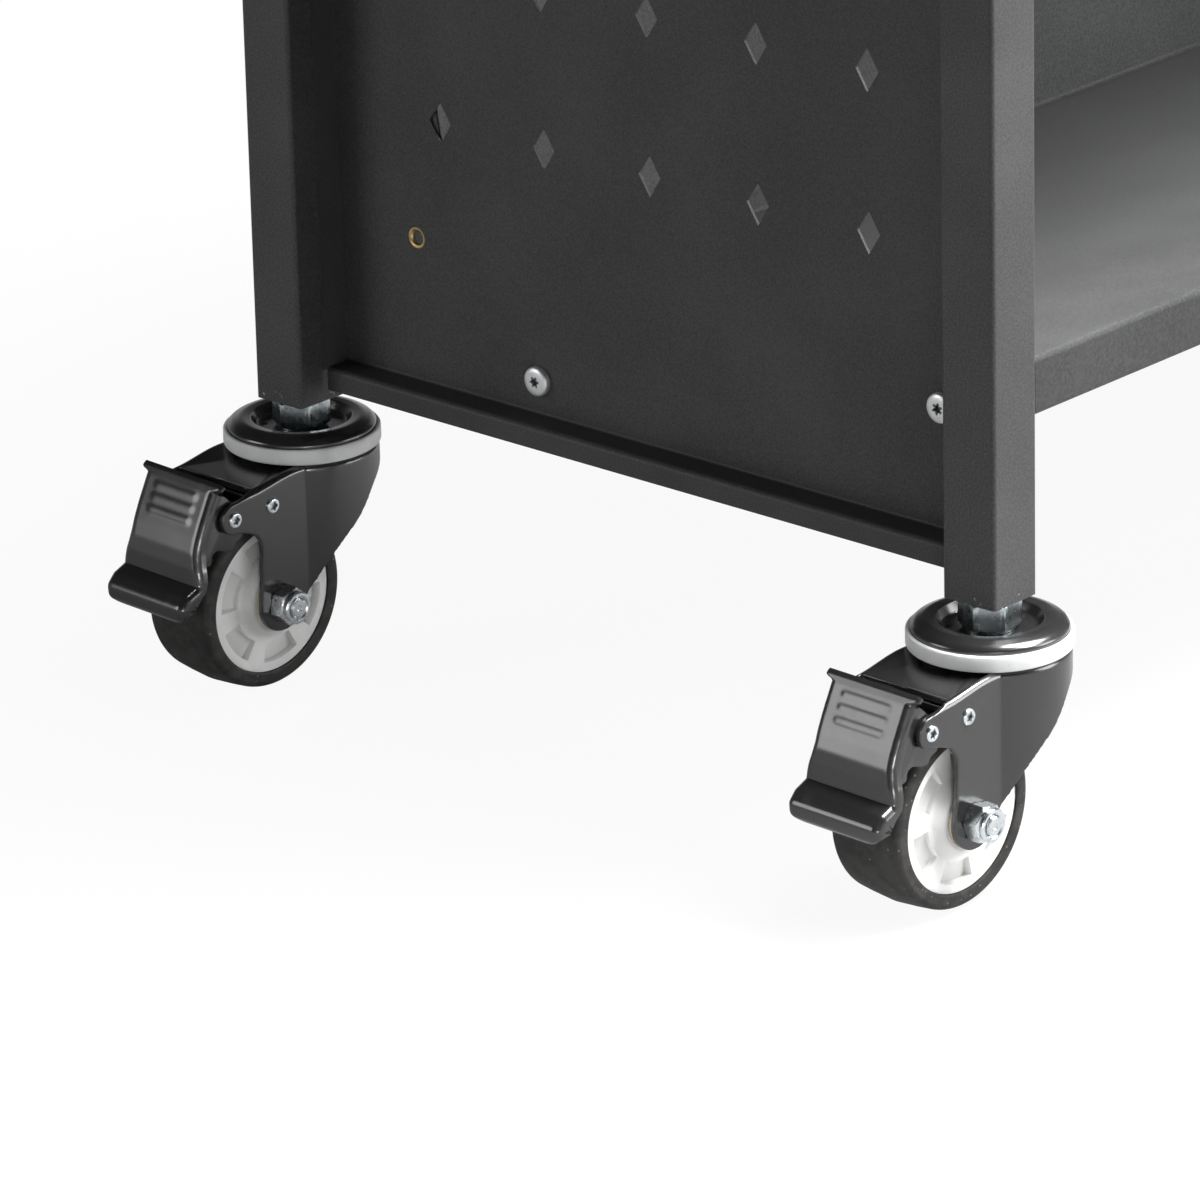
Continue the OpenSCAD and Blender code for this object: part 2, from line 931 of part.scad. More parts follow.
module tread() {
    half = wheel_w / 2;
    crown_w = half - shoulder_r;
    side = wheel_r - shoulder_r;
    color(rubber)
        on_axle()
            rotate_extrude($fn = 96)
                difference() {
                    union() {
                        translate([rim_r, -crown_w])
                            square([wheel_r - rim_r, 2 * crown_w]);
                        translate([0, -half])
                            square([side, 2 * half]);
                        for (z = [-1, 1])
                            translate([side, z * crown_w])
                                circle(shoulder_r);
                    }
                    translate([-wheel_r, -wheel_w])
                        square([wheel_r + rim_r, 2 * wheel_w]);
                }
}

module pocket() {
    span = 360 / pocket_count * pocket_angle_share;
    inner = rim_r * pocket_in_share;
    outer = rim_r * pocket_out_share;
    linear_extrude(pocket_depth + overrun)
        difference() {
            intersection() {
                circle(outer);
                polygon([
                    [0, 0],
                    outer * 2 * [cos(span / 2), -sin(span / 2)],
                    outer * 2 * [cos(span / 2), sin(span / 2)]
                ]);
            }
            circle(inner);
        }
}

module rim() {
    half = rim_w / 2;
    seat_r = bearing_r + running;
    seat_y = bearing_out_y - bearing_w;
    flat_r = rim_r * rim_flat_share;
    color(white)
        on_axle()
            difference() {
                rotate_extrude($fn = 96)
                    polygon([
                        [seat_r, -hub_y],
                        [hub_r, -hub_y],
                        [hub_r + face_chamfer, -half + face_chamfer],
                        [flat_r, -half],
                        [rim_r, -half],
                        [rim_r, half],
                        [flat_r, half],
                        [hub_r + face_chamfer, half - face_chamfer],
                        [hub_r, hub_y],
                        [seat_r, hub_y],
                        [seat_r, seat_y],
                        [seat_r - hub_shoulder, seat_y],
                        [seat_r - hub_shoulder, -seat_y],
                        [seat_r, -seat_y]
                    ]);
                for (face = [0, 1])
                    mirror([0, 0, face])
                        for (i = [0 : pocket_count - 1])
                            rotate([0, 0, i * 360 / pocket_count])
                                translate([0, 0, half - pocket_depth])
                                    pocket();
            }
}

module bearings() {
    color(zinc)
        on_axle()
            for (face = [0, 1])
                mirror([0, 0, face])
                    translate([0, 0, bearing_out_y - bearing_w])
                        difference() {
                            cylinder(r = bearing_r, h = bearing_w);
                            translate([0, 0, -overrun])
                                cylinder(r = axle_r + running, h = bearing_w + 2 * overrun);
                        }
}

// Children at the pedal's pivot, with x along the trail and z up
module at_pivot() {
    translate([pivot_x, 0, pivot_z])
        children();
}

module pedal_band(from, to) {
    line = [for (p = pedal_line_shares) pedal_arm * p];
    intersection() {
        polygon(folded(line, pedal_bend_r, -pedal_sheet, pedal_steps));
        translate([-2 * pedal_arm, to])
            square([4 * pedal_arm, from - to]);
    }
}

module pedal() {
    top = pedal_arm * pedal_line_shares[0].y;
    low = pedal_arm * pedal_line_shares[len(pedal_line_shares) - 1].y;
    edge = top - pedal_arm * top_edge_share;
    lip = -pedal_arm * lip_start_share;
    color(black)
        at_pivot()
            difference() {
                union() {
                    along_y(2 * lip_y)
                        pedal_band(top + overrun, edge);
                    along_y(2 * pedal_y)
                        pedal_band(edge, lip);
                    along_y(2 * lip_y)
                        pedal_band(lip, low - overrun);
                    for (side = [-1, 1])
                        translate([0, side * (pedal_y - pedal_sheet / 2), 0])
                            along_y(pedal_sheet) {
                                polygon([for (p = flange_shares) pedal_arm * p]);
                                circle(flange_eye_r);
                            }
                    for (side = [0, 1])
                        mirror([0, side, 0])
                            rotate([0, -cam_angle, 0])
                                translate([cam_arm, pedal_y - pedal_sheet / 2, 0])
                                    rotate([90, 0, 0])
                                        cylinder(r = cam_r, h = pedal_y * (1 - cam_start_share));
                }
                rotate([90, 0, 0])
                    cylinder(r = rivet_d / 2 + running, h = 2 * fork_d, center = true);
            }
}

module brake_shoe() {
    color(black)
        difference() {
            union() {
                translate([trail, 0, axle_z])
                    along_y(shoe_w)
                        polygon(concat(
                            [for (a = [shoe_from : -shoe_step : shoe_to]) shoe_in_r * [cos(a), sin(a)]],
                            [for (a = [shoe_to : shoe_step : shoe_from]) (shoe_in_r + shoe_sheet) * [cos(a), sin(a)]]
                        ));
                translate([shoe_pin_x, 0, shoe_pin_z])
                    rotate([90, 0, 0])
                        cylinder(r = shoe_eye_r, h = shoe_w, center = true);
            }
            translate([shoe_pin_x, 0, shoe_pin_z])
                rotate([90, 0, 0])
                    cylinder(r = rivet_d / 2 + running, h = 2 * fork_d, center = true);
        }
}

module rivet() {
    half = leg_y + rivet_head_h;
    rotate([90, 0, 0])
        difference() {
            union() {
                cylinder(d = rivet_d, h = 2 * half, center = true);
                for (side = [-1, 1])
                    translate([0, 0, side * (leg_y + rivet_head_h / 2)])
                        cylinder(d = rivet_head_d, h = rivet_head_h, center = true);
            }
            for (side = [-1, 1])
                translate([0, 0, side * half])
                    cylinder(d = rivet_d * rivet_bore_share, h = 2 * rivet_d, center = true);
        }
}

module brake_rivets() {
    color(zinc) {
        translate([shoe_pin_x, 0, shoe_pin_z])
            rivet();
        translate([pivot_x, 0, pivot_z])
            rivet();
    }
}

module front_left_stem() { at_front_left() stem(); }
module front_left_race_cup() { at_front_left() race_cup(); }
module front_left_dust_ring() { at_front_left() dust_ring(); }
module front_left_fork() { at_front_left() fork(true); }
module front_left_axle_bolt() { at_front_left() axle_bolt(); }
module front_left_axle_nut() { at_front_left() axle_nut(); }
module front_left_tread() { at_front_left() tread(); }
module front_left_rim() { at_front_left() rim(); }
module front_left_bearings() { at_front_left() bearings(); }
module front_left_pedal() { at_front_left() pedal(); }
module front_left_brake_shoe() { at_front_left() brake_shoe(); }
module front_left_brake_rivets() { at_front_left() brake_rivets(); }

module rear_left_stem() { at_rear_left() stem(); }
module rear_left_race_cup() { at_rear_left() race_cup(); }
module rear_left_dust_ring() { at_rear_left() dust_ring(); }
module rear_left_fork() { at_rear_left() fork(true); }
module rear_left_axle_bolt() { at_rear_left() axle_bolt(); }
module rear_left_axle_nut() { at_rear_left() axle_nut(); }
module rear_left_tread() { at_rear_left() tread(); }
module rear_left_rim() { at_rear_left() rim(); }
module rear_left_bearings() { at_rear_left() bearings(); }
module rear_left_pedal() { at_rear_left() pedal(); }
module rear_left_brake_shoe() { at_rear_left() brake_shoe(); }
module rear_left_brake_rivets() { at_rear_left() brake_rivets(); }

module front_right_stem() { at_front_right() stem(); }
module front_right_race_cup() { at_front_right() race_cup(); }
module front_right_dust_ring() { at_front_right() dust_ring(); }
module front_right_fork() { at_front_right() fork(false); }
module front_right_axle_bolt() { at_front_right() axle_bolt(); }
module front_right_axle_nut() { at_front_right() axle_nut(); }
module front_right_tread() { at_front_right() tread(); }
module front_right_rim() { at_front_right() rim(); }
module front_right_bearings() { at_front_right() bearings(); }

module rear_right_stem() { at_rear_right() stem(); }
module rear_right_race_cup() { at_rear_right() race_cup(); }
module rear_right_dust_ring() { at_rear_right() dust_ring(); }
module rear_right_fork() { at_rear_right() fork(false); }
module rear_right_axle_bolt() { at_rear_right() axle_bolt(); }
module rear_right_axle_nut() { at_rear_right() axle_nut(); }
module rear_right_tread() { at_rear_right() tread(); }
module rear_right_rim() { at_rear_right() rim(); }
module rear_right_bearings() { at_rear_right() bearings(); }

front_left_post();
rear_left_post();
front_right_post();
rear_right_post();
left_handle();
right_handle();
left_end_panel();
right_end_panel();
bottom_shelf();
middle_shelf();
top_shelf();
shelf_screws();
shelf_inserts();
caster_sockets();
race_balls();
front_left_stem();
front_left_race_cup();
front_left_dust_ring();
front_left_fork();
front_left_axle_bolt();
front_left_axle_nut();
front_left_tread();
front_left_rim();
front_left_bearings();
front_left_pedal();
front_left_brake_shoe();
front_left_brake_rivets();
rear_left_stem();
rear_left_race_cup();
rear_left_dust_ring();
rear_left_fork();
rear_left_axle_bolt();
rear_left_axle_nut();
rear_left_tread();
rear_left_rim();
rear_left_bearings();
rear_left_pedal();
rear_left_brake_shoe();
rear_left_brake_rivets();
front_right_stem();
front_right_race_cup();
front_right_dust_ring();
front_right_fork();
front_right_axle_bolt();
front_right_axle_nut();
front_right_tread();
front_right_rim();
front_right_bearings();
rear_right_stem();
rear_right_race_cup();
rear_right_dust_ring();
rear_right_fork();
rear_right_axle_bolt();
rear_right_axle_nut();
rear_right_tread();
rear_right_rim();
rear_right_bearings();
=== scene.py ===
"""Looks of a rolling book cart: dressed pieces for its frame, shelves, fixings and casters.

Each piece is made in millimetres in a frame of its own and then placed in the cart's frame,
which is metres with +Z up, the shelves' open side towards -Y and the braked casters at -X.
"""

import json
import math

import bmesh
import bpy
from bpy.props import FloatProperty, FloatVectorProperty, IntProperty, PointerProperty
from mathutils import Matrix, Vector


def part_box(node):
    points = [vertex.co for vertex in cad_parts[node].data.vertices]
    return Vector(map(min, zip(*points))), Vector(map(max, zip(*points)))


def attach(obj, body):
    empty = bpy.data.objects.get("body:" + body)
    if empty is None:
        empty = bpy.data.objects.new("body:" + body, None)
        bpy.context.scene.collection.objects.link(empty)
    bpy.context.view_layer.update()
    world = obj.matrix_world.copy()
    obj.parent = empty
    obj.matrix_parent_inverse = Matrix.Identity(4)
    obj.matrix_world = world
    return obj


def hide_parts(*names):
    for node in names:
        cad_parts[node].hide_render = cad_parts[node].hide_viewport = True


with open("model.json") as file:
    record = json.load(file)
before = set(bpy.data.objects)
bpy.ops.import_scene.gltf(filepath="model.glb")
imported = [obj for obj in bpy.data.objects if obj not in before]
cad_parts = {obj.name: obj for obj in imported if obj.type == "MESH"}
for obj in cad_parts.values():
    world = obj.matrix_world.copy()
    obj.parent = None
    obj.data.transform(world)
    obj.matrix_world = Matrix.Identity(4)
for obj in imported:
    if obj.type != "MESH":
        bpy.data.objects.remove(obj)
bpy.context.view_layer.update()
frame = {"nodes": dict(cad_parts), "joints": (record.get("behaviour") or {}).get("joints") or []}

bl_info = {
    "name": "Rolling book cart",
    "version": (1, 0, 0),
    "blender": (4, 5, 0),
    "location": "3D View > Sidebar > Book cart",
    "description": "Dresses the cart's frame, shelves, fixings and casters",
    "category": "Object",
}

MM = 0.001
TAU = 2 * math.pi

BRAKED = ("front_left", "rear_left")
PLAIN = ("front_right", "rear_right")
CORNERS = BRAKED + PLAIN
ENDS = ("left", "right")
SHELVES = ("bottom", "middle", "top")
JOINTS = {joint["name"]: joint for joint in frame["joints"]}


# Sizes and colours that a user would change

def length(name, default, description):
    """A size in metres."""
    return FloatProperty(name=name, description=description, default=default, unit="LENGTH")


def power(name, default, description):
    """A lamp's power in watts."""
    return FloatProperty(name=name, description=description, default=default, unit="POWER")


def tint(name, default, description):
    """A surface's colour, as linear values."""
    return FloatVectorProperty(name=name, description=description, default=default, subtype="COLOR")


class CartSizes(bpy.types.PropertyGroup):
    """Sizes of the panels, the shelves and their fixings."""

    sheet: length("Sheet", 0.0012, "Thickness of panels and shelves")
    fold: length("Fold radius", 0.0022, "Outer radius of the folds in the panels")
    recess: length("Panel recess", 0.026, "From the posts' end face in to the panel")
    lip: length("Panel lip", 0.0092, "Height of the lip under the panel's bottom fold")
    hole_width: length("Hole width", 0.0112, "Width of a diamond hole")
    hole_height: length("Hole height", 0.0175, "Height of a diamond hole")
    columns: IntProperty(name="Columns", description="Diamond holes side by side", default=5, min=1)
    column_pitch: length("Column pitch", 0.0545, "From one column of holes to the next")
    row_pitch: length("Row pitch", 0.0631, "From one row of holes to the next")
    first_row: length("First row", 0.235, "Height of the lowest row of holes")
    tilt: FloatProperty(name="Shelf tilt", description="How far floor and back of a shelf lean",
                        default=math.radians(9.6), subtype="ANGLE")
    floor: length("Shelf floor", 0.2885, "Length of a shelf's sloping floor")
    back: length("Shelf back", 0.190, "Length of a shelf's leaning back")
    front_lip: length("Front lip", 0.0234, "Height of a shelf's front lip")
    hem: length("Hem", 0.012, "Width of a shelf's hems")
    setback: length("Setback", 0.0025, "From the posts' front face in to the shelf's lip")
    shelf_base: length("Lowest shelf", 0.2028, "Height of the lowest shelf's front edge")
    shelf_pitch: length("Shelf pitch", 0.3786, "From one shelf up to the next")
    end_flange: length("End flange", 0.029, "Width of a shelf's end flanges")
    fixing_depth: length("Fixing depth", 0.0213, "From a shelf's faces to its fixings")


class CasterSizes(bpy.types.PropertyGroup):
    """Sizes of the casters."""

    trail: length("Trail", 0.0345, "From the swivel's axis back to the axle")
    axle_drop: length("Axle drop", 0.073, "From the post's lower end down to the axle")
    cup_radius: length("Cup radius", 0.0299, "Radius of the race cup")
    ring_radius: length("Ring radius", 0.0316, "Radius of the dust ring")
    fork_radius: length("Fork radius", 0.0308, "Radius of the fork's round front")
    fork_half: length("Fork half width", 0.0232, "Half the width over the fork's legs")
    fork_sheet: length("Fork sheet", 0.0025, "Thickness of the fork")
    wheel_radius: length("Wheel radius", 0.038, "Radius over the tread")
    wheel_half: length("Wheel half width", 0.017, "Half the tread's width")
    rim_radius: length("Rim radius", 0.0305, "Radius of the white rim")
    rim_half: length("Rim half width", 0.016, "Half the width over the rim's faces")
    pockets: IntProperty(name="Pockets", description="Pockets in each face of the rim", default=6, min=1)
    pocket_depth: length("Pocket depth", 0.0031, "Depth of the rim's pockets")


class CartFinishes(bpy.types.PropertyGroup):
    """Colours of the cart's surfaces."""

    post_paint: tint("Post paint", (0.069, 0.069, 0.069), "Powder coat of posts and handles")
    panel_paint: tint("Panel paint", (0.063, 0.063, 0.062), "Powder coat of the end panels")
    shelf_paint: tint("Shelf paint", (0.079, 0.080, 0.081), "Powder coat of the shelves")
    caster_paint: tint("Caster paint", (0.018, 0.018, 0.018), "Gloss paint of the casters")
    zinc: tint("Zinc", (0.78, 0.82, 0.85), "Bluish zinc of nuts and rivets")
    # A darker copy of the caster zinc, as painted shade on the stems that sit under the posts.
    stem_zinc: tint("Stem zinc", (0.50, 0.56, 0.58), "Darker zinc of the stems")
    screw_zinc: tint("Screw zinc", (0.84, 0.85, 0.86), "Bright zinc of the pan heads")
    brass: tint("Brass", (0.62, 0.46, 0.22), "Yellow zinc of the threaded inserts")
    bearing: tint("Bearing", (0.82, 0.76, 0.60), "Pale yellow rings of the wheel bearings")
    ring: tint("Ring", (0.92, 0.94, 0.94), "White plastic of the dust rings")
    rim: tint("Rim", (0.90, 0.90, 0.89), "White plastic of the rims")
    tread: tint("Tread", (0.026, 0.025, 0.024), "Dark rubber of the treads")


class StageSettings(bpy.types.PropertyGroup):
    """Camera, lamps and background."""

    focal: FloatProperty(name="Focal length", description="Camera's focal length in millimetres",
                         default=236.286, unit="CAMERA")
    key: power("Key", 158, "Power of the front softbox in watts")
    low: power("Low", 0.13, "Power of the gridded lamp near the floor in watts")
    top: power("Top", 440, "Power of the overhead softbox in watts")
    edge: power("Edge", 27, "Power of the rear left softbox in watts")
    fill: FloatProperty(name="Fill", description="Strength of the plain surroundings", default=0.05)


def sizes():
    """The sizes of panels and shelves."""
    return bpy.context.scene.cart_sizes


def caster():
    """The sizes of the casters."""
    return bpy.context.scene.caster_sizes


def mm(value):
    """A property's metres as millimetres."""
    return value / MM


# Where things are

def corner_matrix(corner):
    """From a caster's own millimetres, x along its trail, y along its axle and z up from the
    post's lower end, to the cart's frame."""
    axle = Vector(JOINTS[corner + "_wheel"]["axis"])
    up = Vector((0, 0, 1))
    trail = axle.cross(up)
    origin = Vector(JOINTS[corner + "_swivel"]["pos_m"])
    origin.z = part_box(corner + "_post")[0].z
    turn = Matrix((trail, axle, up)).transposed().to_4x4()
    return Matrix.Translation(origin) @ turn @ Matrix.Scale(MM, 4)


def end_matrix(end):
    """From an end's own millimetres, x in from the posts' outer face, y back from their front
    face and z above the floor, to the cart's frame. The right end is mirrored."""
    low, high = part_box("front_" + end + "_post")
    left = end == "left"
    origin = Vector((low.x if left else high.x, low.y, 0))
    return Matrix.Translation(origin) @ Matrix.Diagonal((MM if left else -MM, MM, MM, 1))


def shelf_front():
    """Place of the shelves' lips along the cart's depth, in metres."""
    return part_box("front_left_post")[0].y + sizes().setback


def shelf_directions():
    """Directions along a shelf's floor and up its back, in the end's (y, z)."""
    cos, sin = math.cos(sizes().tilt), math.sin(sizes().tilt)
    return Vector((cos, -sin)), Vector((sin, cos))


# Each shelf end has four fixings, from its front to the top of its back. The third is an open
# insert without a screw, which shows through a round hole in the panel.
ALL_FIXINGS = (0, 1, 2, 3)
SCREWED = (0, 1, 3)
OPEN = (2,)


def fixing_places(which):
    """Places of fixings as (y, z) in an end's own millimetres, on every shelf."""
    s = sizes()
    along, up = shelf_directions()
    depth = mm(s.fixing_depth)
    corner = along * mm(s.floor)
    # Along the sheet, from the shelf's front edge, its fold and its top edge to the fixings
    front, fold, top = 47.6, 34, 24
    spots = [
        along * front - up * depth,
        along * (mm(s.floor) - fold) - up * depth,
        corner + up * fold + along * depth,
        corner + up * (mm(s.back) - top) + along * depth,
    ]
    origin = Vector((mm(s.setback), mm(s.shelf_base)))
    return [
        origin + Vector((0, level * mm(s.shelf_pitch))) + spots[i]
        for level in range(len(SHELVES)) for i in which
    ]


# Levels in a caster's own millimetres, from the post's lower end
HEXAGON_FOOT = -11.3
CUP_TOP = -12.2
RING_FOOT = -18.8

# A braked caster's pivots, as (x, z) from its axle in millimetres
PEDAL_PIVOT = (24.1, 41.8)
SHOE_PIVOT = (3.9, 42.3)


def axle_spot():
    """The axle's (x, z) in a caster's own millimetres."""
    c = caster()
    return mm(c.trail), -mm(c.axle_drop)


def pivot_spots():
    """The (x, z) of the pedal's and the shoe's rivets in a caster's own millimetres."""
    t, d = axle_spot()
    return [(t + x, d + z) for x, z in (PEDAL_PIVOT, SHOE_PIVOT)]


# Outlines, as lists of points in millimetres

def rounded(points, radius, steps=8):
    """An open line with its inner corners rounded to the radius, or to one radius for each."""
    inner = points[1:-1]
    radii = radius if isinstance(radius, (list, tuple)) else [radius] * len(inner)
    made = [Vector(points[0])]
    for a, b, c, r in zip(points, inner, points[2:], radii):
        a, b, c = Vector(a), Vector(b), Vector(c)
        u, w = (a - b).normalized(), (c - b).normalized()
        half = u.angle(w) / 2
        if r <= 0 or half > math.pi / 2 - 1e-4:
            made.append(b)
            continue
        reach = min(r / math.tan(half), 0.49 * (a - b).length, 0.49 * (c - b).length)
        r = reach * math.tan(half)
        centre = b + (u + w).normalized() * (r / math.sin(half))
        start, stop = b + u * reach - centre, b + w * reach - centre
        sweep = start.angle_signed(stop)
        for i in range(steps + 1):
            turn = -sweep * i / steps
            made.append(centre + Matrix.Rotation(turn, 2) @ start)
    made.append(Vector(points[-1]))
    return made


def closed_rounded(points, radius, steps=6):
    """A closed outline with every corner rounded."""
    middle = (Vector(points[0]) + Vector(points[-1])) / 2
    line = rounded([middle, *points, middle], radius, steps)
    return line[:-1]


def beside(points, distance):
    """The line moved sideways, to its left where the distance is positive."""
    made = []
    for i, p in enumerate(points):
        before = (p - points[i - 1]) if i else (points[1] - p)
        after = (points[i + 1] - p) if i + 1 < len(points) else before
        n1 = Vector((-before.y, before.x)).normalized()
        n2 = Vector((-after.y, after.x)).normalized()
        m = (n1 + n2).normalized()
        made.append(p + m * (distance / max(m.dot(n1), 0.2)))
    return made


def folded(points, radius, thickness):
    """Closed outline of a folded sheet that lies to the left of its rounded line."""
    line = rounded(points, radius)
    return line + beside(line, thickness)[::-1]


def travelled(points):
    """The distance along a line to each of its points."""
    lengths = [0.0]
    for a, b in zip(points, points[1:]):
        lengths.append(lengths[-1] + (b - a).length)
    return lengths


def resampled(points, spacing):
    """The line with points at an even spacing, which keeps its ends."""
    lengths = travelled(points)
    count = max(2, round(lengths[-1] / spacing))
    made = []
    k = 0
    for i in range(count + 1):
        at = lengths[-1] * i / count
        while k < len(points) - 2 and lengths[k + 1] < at:
            k += 1
        span = lengths[k + 1] - lengths[k] or 1
        made.append(points[k].lerp(points[k + 1], (at - lengths[k]) / span))
    return made


def arc(x, y, radius, start, stop, steps):
    """Points about (x, y) from one angle to another, in degrees."""
    made = []
    for i in range(steps + 1):
        a = math.radians(start + (stop - start) * i / steps)
        made.append((x + radius * math.cos(a), y + radius * math.sin(a)))
    return made


def eased(points, rounds=2):
    """A closed outline with its corners eased by cutting them."""
    for _ in range(rounds):
        made = []
        for a, b in zip(points, points[1:] + points[:1]):
            made.append((a[0] * 0.8 + b[0] * 0.2, a[1] * 0.8 + b[1] * 0.2))
            made.append((a[0] * 0.2 + b[0] * 0.8, a[1] * 0.2 + b[1] * 0.8))
        points = made
    return points


def spaced(start, stop, step):
    """Numbers from start on, a step apart, that don't reach stop."""
    made = []
    at = start
    while (at - stop) * step < 0:
        made.append(at)
        at += step
    return made


def smoothstep(low, high, value):
    """0 below low and 1 above high, with a smooth step between them."""
    t = min(1.0, max(0.0, (value - low) / (high - low)))
    return t * t * (3 - 2 * t)


# Shapes, as (points, faces)

def prism(outline, low, high, axis="y"):
    """A closed outline drawn out between two levels along an axis."""
    put = {
        "x": lambda p, t: (t, p[0], p[1]),
        "y": lambda p, t: (p[0], t, p[1]),
        "z": lambda p, t: (p[0], p[1], t),
    }[axis]
    n = len(outline)
    area = sum(a[0] * b[1] - b[0] * a[1] for a, b in zip(outline, outline[1:] + outline[:1]))
    forward = (area > 0) != (axis == "y")
    points = [put(p, low) for p in outline] + [put(p, high) for p in outline]
    faces = [tuple(range(n))[::-1], tuple(range(n, 2 * n))]
    faces += [(i, (i + 1) % n, n + (i + 1) % n, n + i) for i in range(n)]
    if not forward:
        faces = [f[::-1] for f in faces]
    return points, faces


def turned(profile, steps, axis="z", closed=False, shape=None):
    """A profile of (radius, height) turned about an axis. shape(radius, height, angle) may move
    a point. An open profile is closed at radius 0."""
    rings = []
    points = []
    for r, h in profile:
        if r < 1e-6:
            rings.append([len(points)])
            points.append((0, 0, h))
            continue
        ring = []
        for i in range(steps):
            angle = TAU * i / steps
            radius, height = shape(r, h, angle) if shape else (r, h)
            ring.append(len(points))
            points.append((radius * math.cos(angle), radius * math.sin(angle), height))
        rings.append(ring)
    faces = []
    pairs = list(zip(rings, rings[1:]))
    if closed:
        pairs.append((rings[-1], rings[0]))
    for a, b in pairs:
        for i in range(steps):
            j = (i + 1) % steps
            if len(a) == 1 and len(b) > 1:
                faces.append((a[0], b[j], b[i]))
            elif len(b) == 1 and len(a) > 1:
                faces.append((a[i], a[j], b[0]))
            elif len(a) > 1:
                faces.append((a[i], a[j], b[j], b[i]))
    if axis == "y":
        points = [(x, z, -y) for x, y, z in points]
    if axis == "x":
        points = [(z, y, -x) for x, y, z in points]
    return points, faces


def rod(radius, low, high, steps=32, axis="y"):
    """A plain round bar between two levels along an axis."""
    return turned([(0, low), (radius, low), (radius, high), (0, high)], steps, axis)


def hexagon(flats, low, high, bore=0.0, axis="z"):
    """A hexagon with turned chamfers at both ends, and a bore if it has one."""
    across = flats / math.sqrt(3)
    rest, face_edge = flats / 2 * 0.95, flats / 2 * 0.97
    drop = (across - face_edge) * math.tan(math.radians(30))

    def cut(radius, height, angle):
        side = flats / 2 / math.cos((angle + math.pi / 6) % (math.pi / 3) - math.pi / 6)
        return min(radius, side), height

    chamfer = [(face_edge + (across - face_edge) * share, drop * share) for share in (0.0, 0.33, 0.66, 1.0)]
    profile = [(bore, low), (rest, low)] + [(r, low + h) for r, h in chamfer]
    profile += [(r, high - h) for r, h in chamfer[::-1]] + [(rest, high), (bore, high)]
    return turned(profile, 120, axis, closed=bore > 0, shape=cut)


def thread_wave(height, angle, pitch, depth):
    """How far a screw thread stands up at a height and an angle."""
    turn = (height / pitch - angle / TAU) % 1.0
    return depth * abs(turn * 2 - 1)


def star_mouth(lobes, radius, swing, soft, depth, reach, seat):
    """For turned(), the mouth of a head: an edge whose radius swings round its lobes and is
    soft to both sides. It stays within a reach and above a seat."""
    def sunk(r, h, angle):
        if r > reach or h < seat:
            return r, h
        edge = radius + swing * math.cos(lobes * angle)
        return r, h - depth * (1 - smoothstep(edge - soft[0], edge + soft[1], r))

    return sunk


def joined(*shapes):
    """One shape from several."""
    points, faces = [], []
    for p, f in shapes:
        start = len(points)
        points += list(p)
        faces += [tuple(i + start for i in face) for face in f]
    return points, faces


def moved(shape, x, y, z):
    """The shape moved along the axes."""
    points, faces = shape
    return [(p[0] + x, p[1] + y, p[2] + z) for p in points], faces


def spun(shape, degrees, axis):
    """The shape turned about an axis."""
    points, faces = shape
    turn = Matrix.Rotation(math.radians(degrees), 3, axis)
    return [turn @ Vector(p) for p in points], faces


# Blender objects from shapes

def new_object(name, data):
    """An object in the scene for a mesh, a lamp or a camera."""
    made = bpy.data.objects.new(name, data)
    bpy.context.scene.collection.objects.link(made)
    return made


def put_in_place(mesh, matrix):
    """Moves a mesh by a matrix and keeps its faces outwards where that mirrors it."""
    mesh.transform(matrix)
    if matrix.determinant() < 0:
        mesh.flip_normals()


def raw_object(name, shape, matrix=None):
    """An object with the shape's mesh, in the place that the matrix gives."""
    points, faces = shape
    mesh = bpy.data.meshes.new(name)
    mesh.from_pydata([tuple(p) for p in points], [], faces)
    if matrix is not None:
        put_in_place(mesh, matrix)
    mesh.validate()
    mesh.update()
    return new_object(name, mesh)


def solid(name, shape, matrix=None):
    """An object with the shape's mesh, its double points merged and its faces outwards."""
    made = raw_object(name, shape, matrix)
    work = bmesh.new()
    work.from_mesh(made.data)
    bmesh.ops.remove_doubles(work, verts=work.verts, dist=1e-7)
    bmesh.ops.recalc_face_normals(work, faces=work.faces)
    work.to_mesh(made.data)
    work.free()
    return made


def copied(piece, name, matrix):
    """A copy of a piece's mesh, put in place by a matrix."""
    mesh = piece.data.copy()
    mesh.name = name
    put_in_place(mesh, matrix)
    return new_object(name, mesh)


def removed(piece):
    """Removes an object that has been used up."""
    mesh = piece.data
    bpy.data.objects.remove(piece)
    bpy.data.meshes.remove(mesh)


def applied(piece):
    """The piece with its modifiers turned into plain mesh."""
    bpy.context.view_layer.update()
    graph = bpy.context.evaluated_depsgraph_get()
    mesh = bpy.data.meshes.new_from_object(piece.evaluated_get(graph), depsgraph=graph)
    if not mesh.polygons:
        raise RuntimeError("Nothing is left of " + piece.name)
    old = piece.data
    piece.modifiers.clear()
    piece.data = mesh
    mesh.name = piece.name
    bpy.data.meshes.remove(old)
    return piece


def modified(piece, kind, **settings):
    """Adds a modifier with its settings to a piece."""
    made = piece.modifiers.new(kind.title(), kind)
    for key, value in settings.items():
        setattr(made, key, value)
    return piece


def cut_with(piece, tool, operation="DIFFERENCE"):
    """Cuts a piece with a tool object, which is used up."""
    modified(piece, "BOOLEAN", operation=operation, object=tool, solver="MANIFOLD")
    applied(piece)
    removed(tool)


def softened(piece, voxel, rounds, keep):
    """Melts the sharp edges of a solid into pressed ones."""
    modified(piece, "REMESH", mode="VOXEL", voxel_size=voxel)
    modified(piece, "SMOOTH", factor=0.5, iterations=rounds)
    modified(piece, "DECIMATE", ratio=keep)
    return applied(piece)


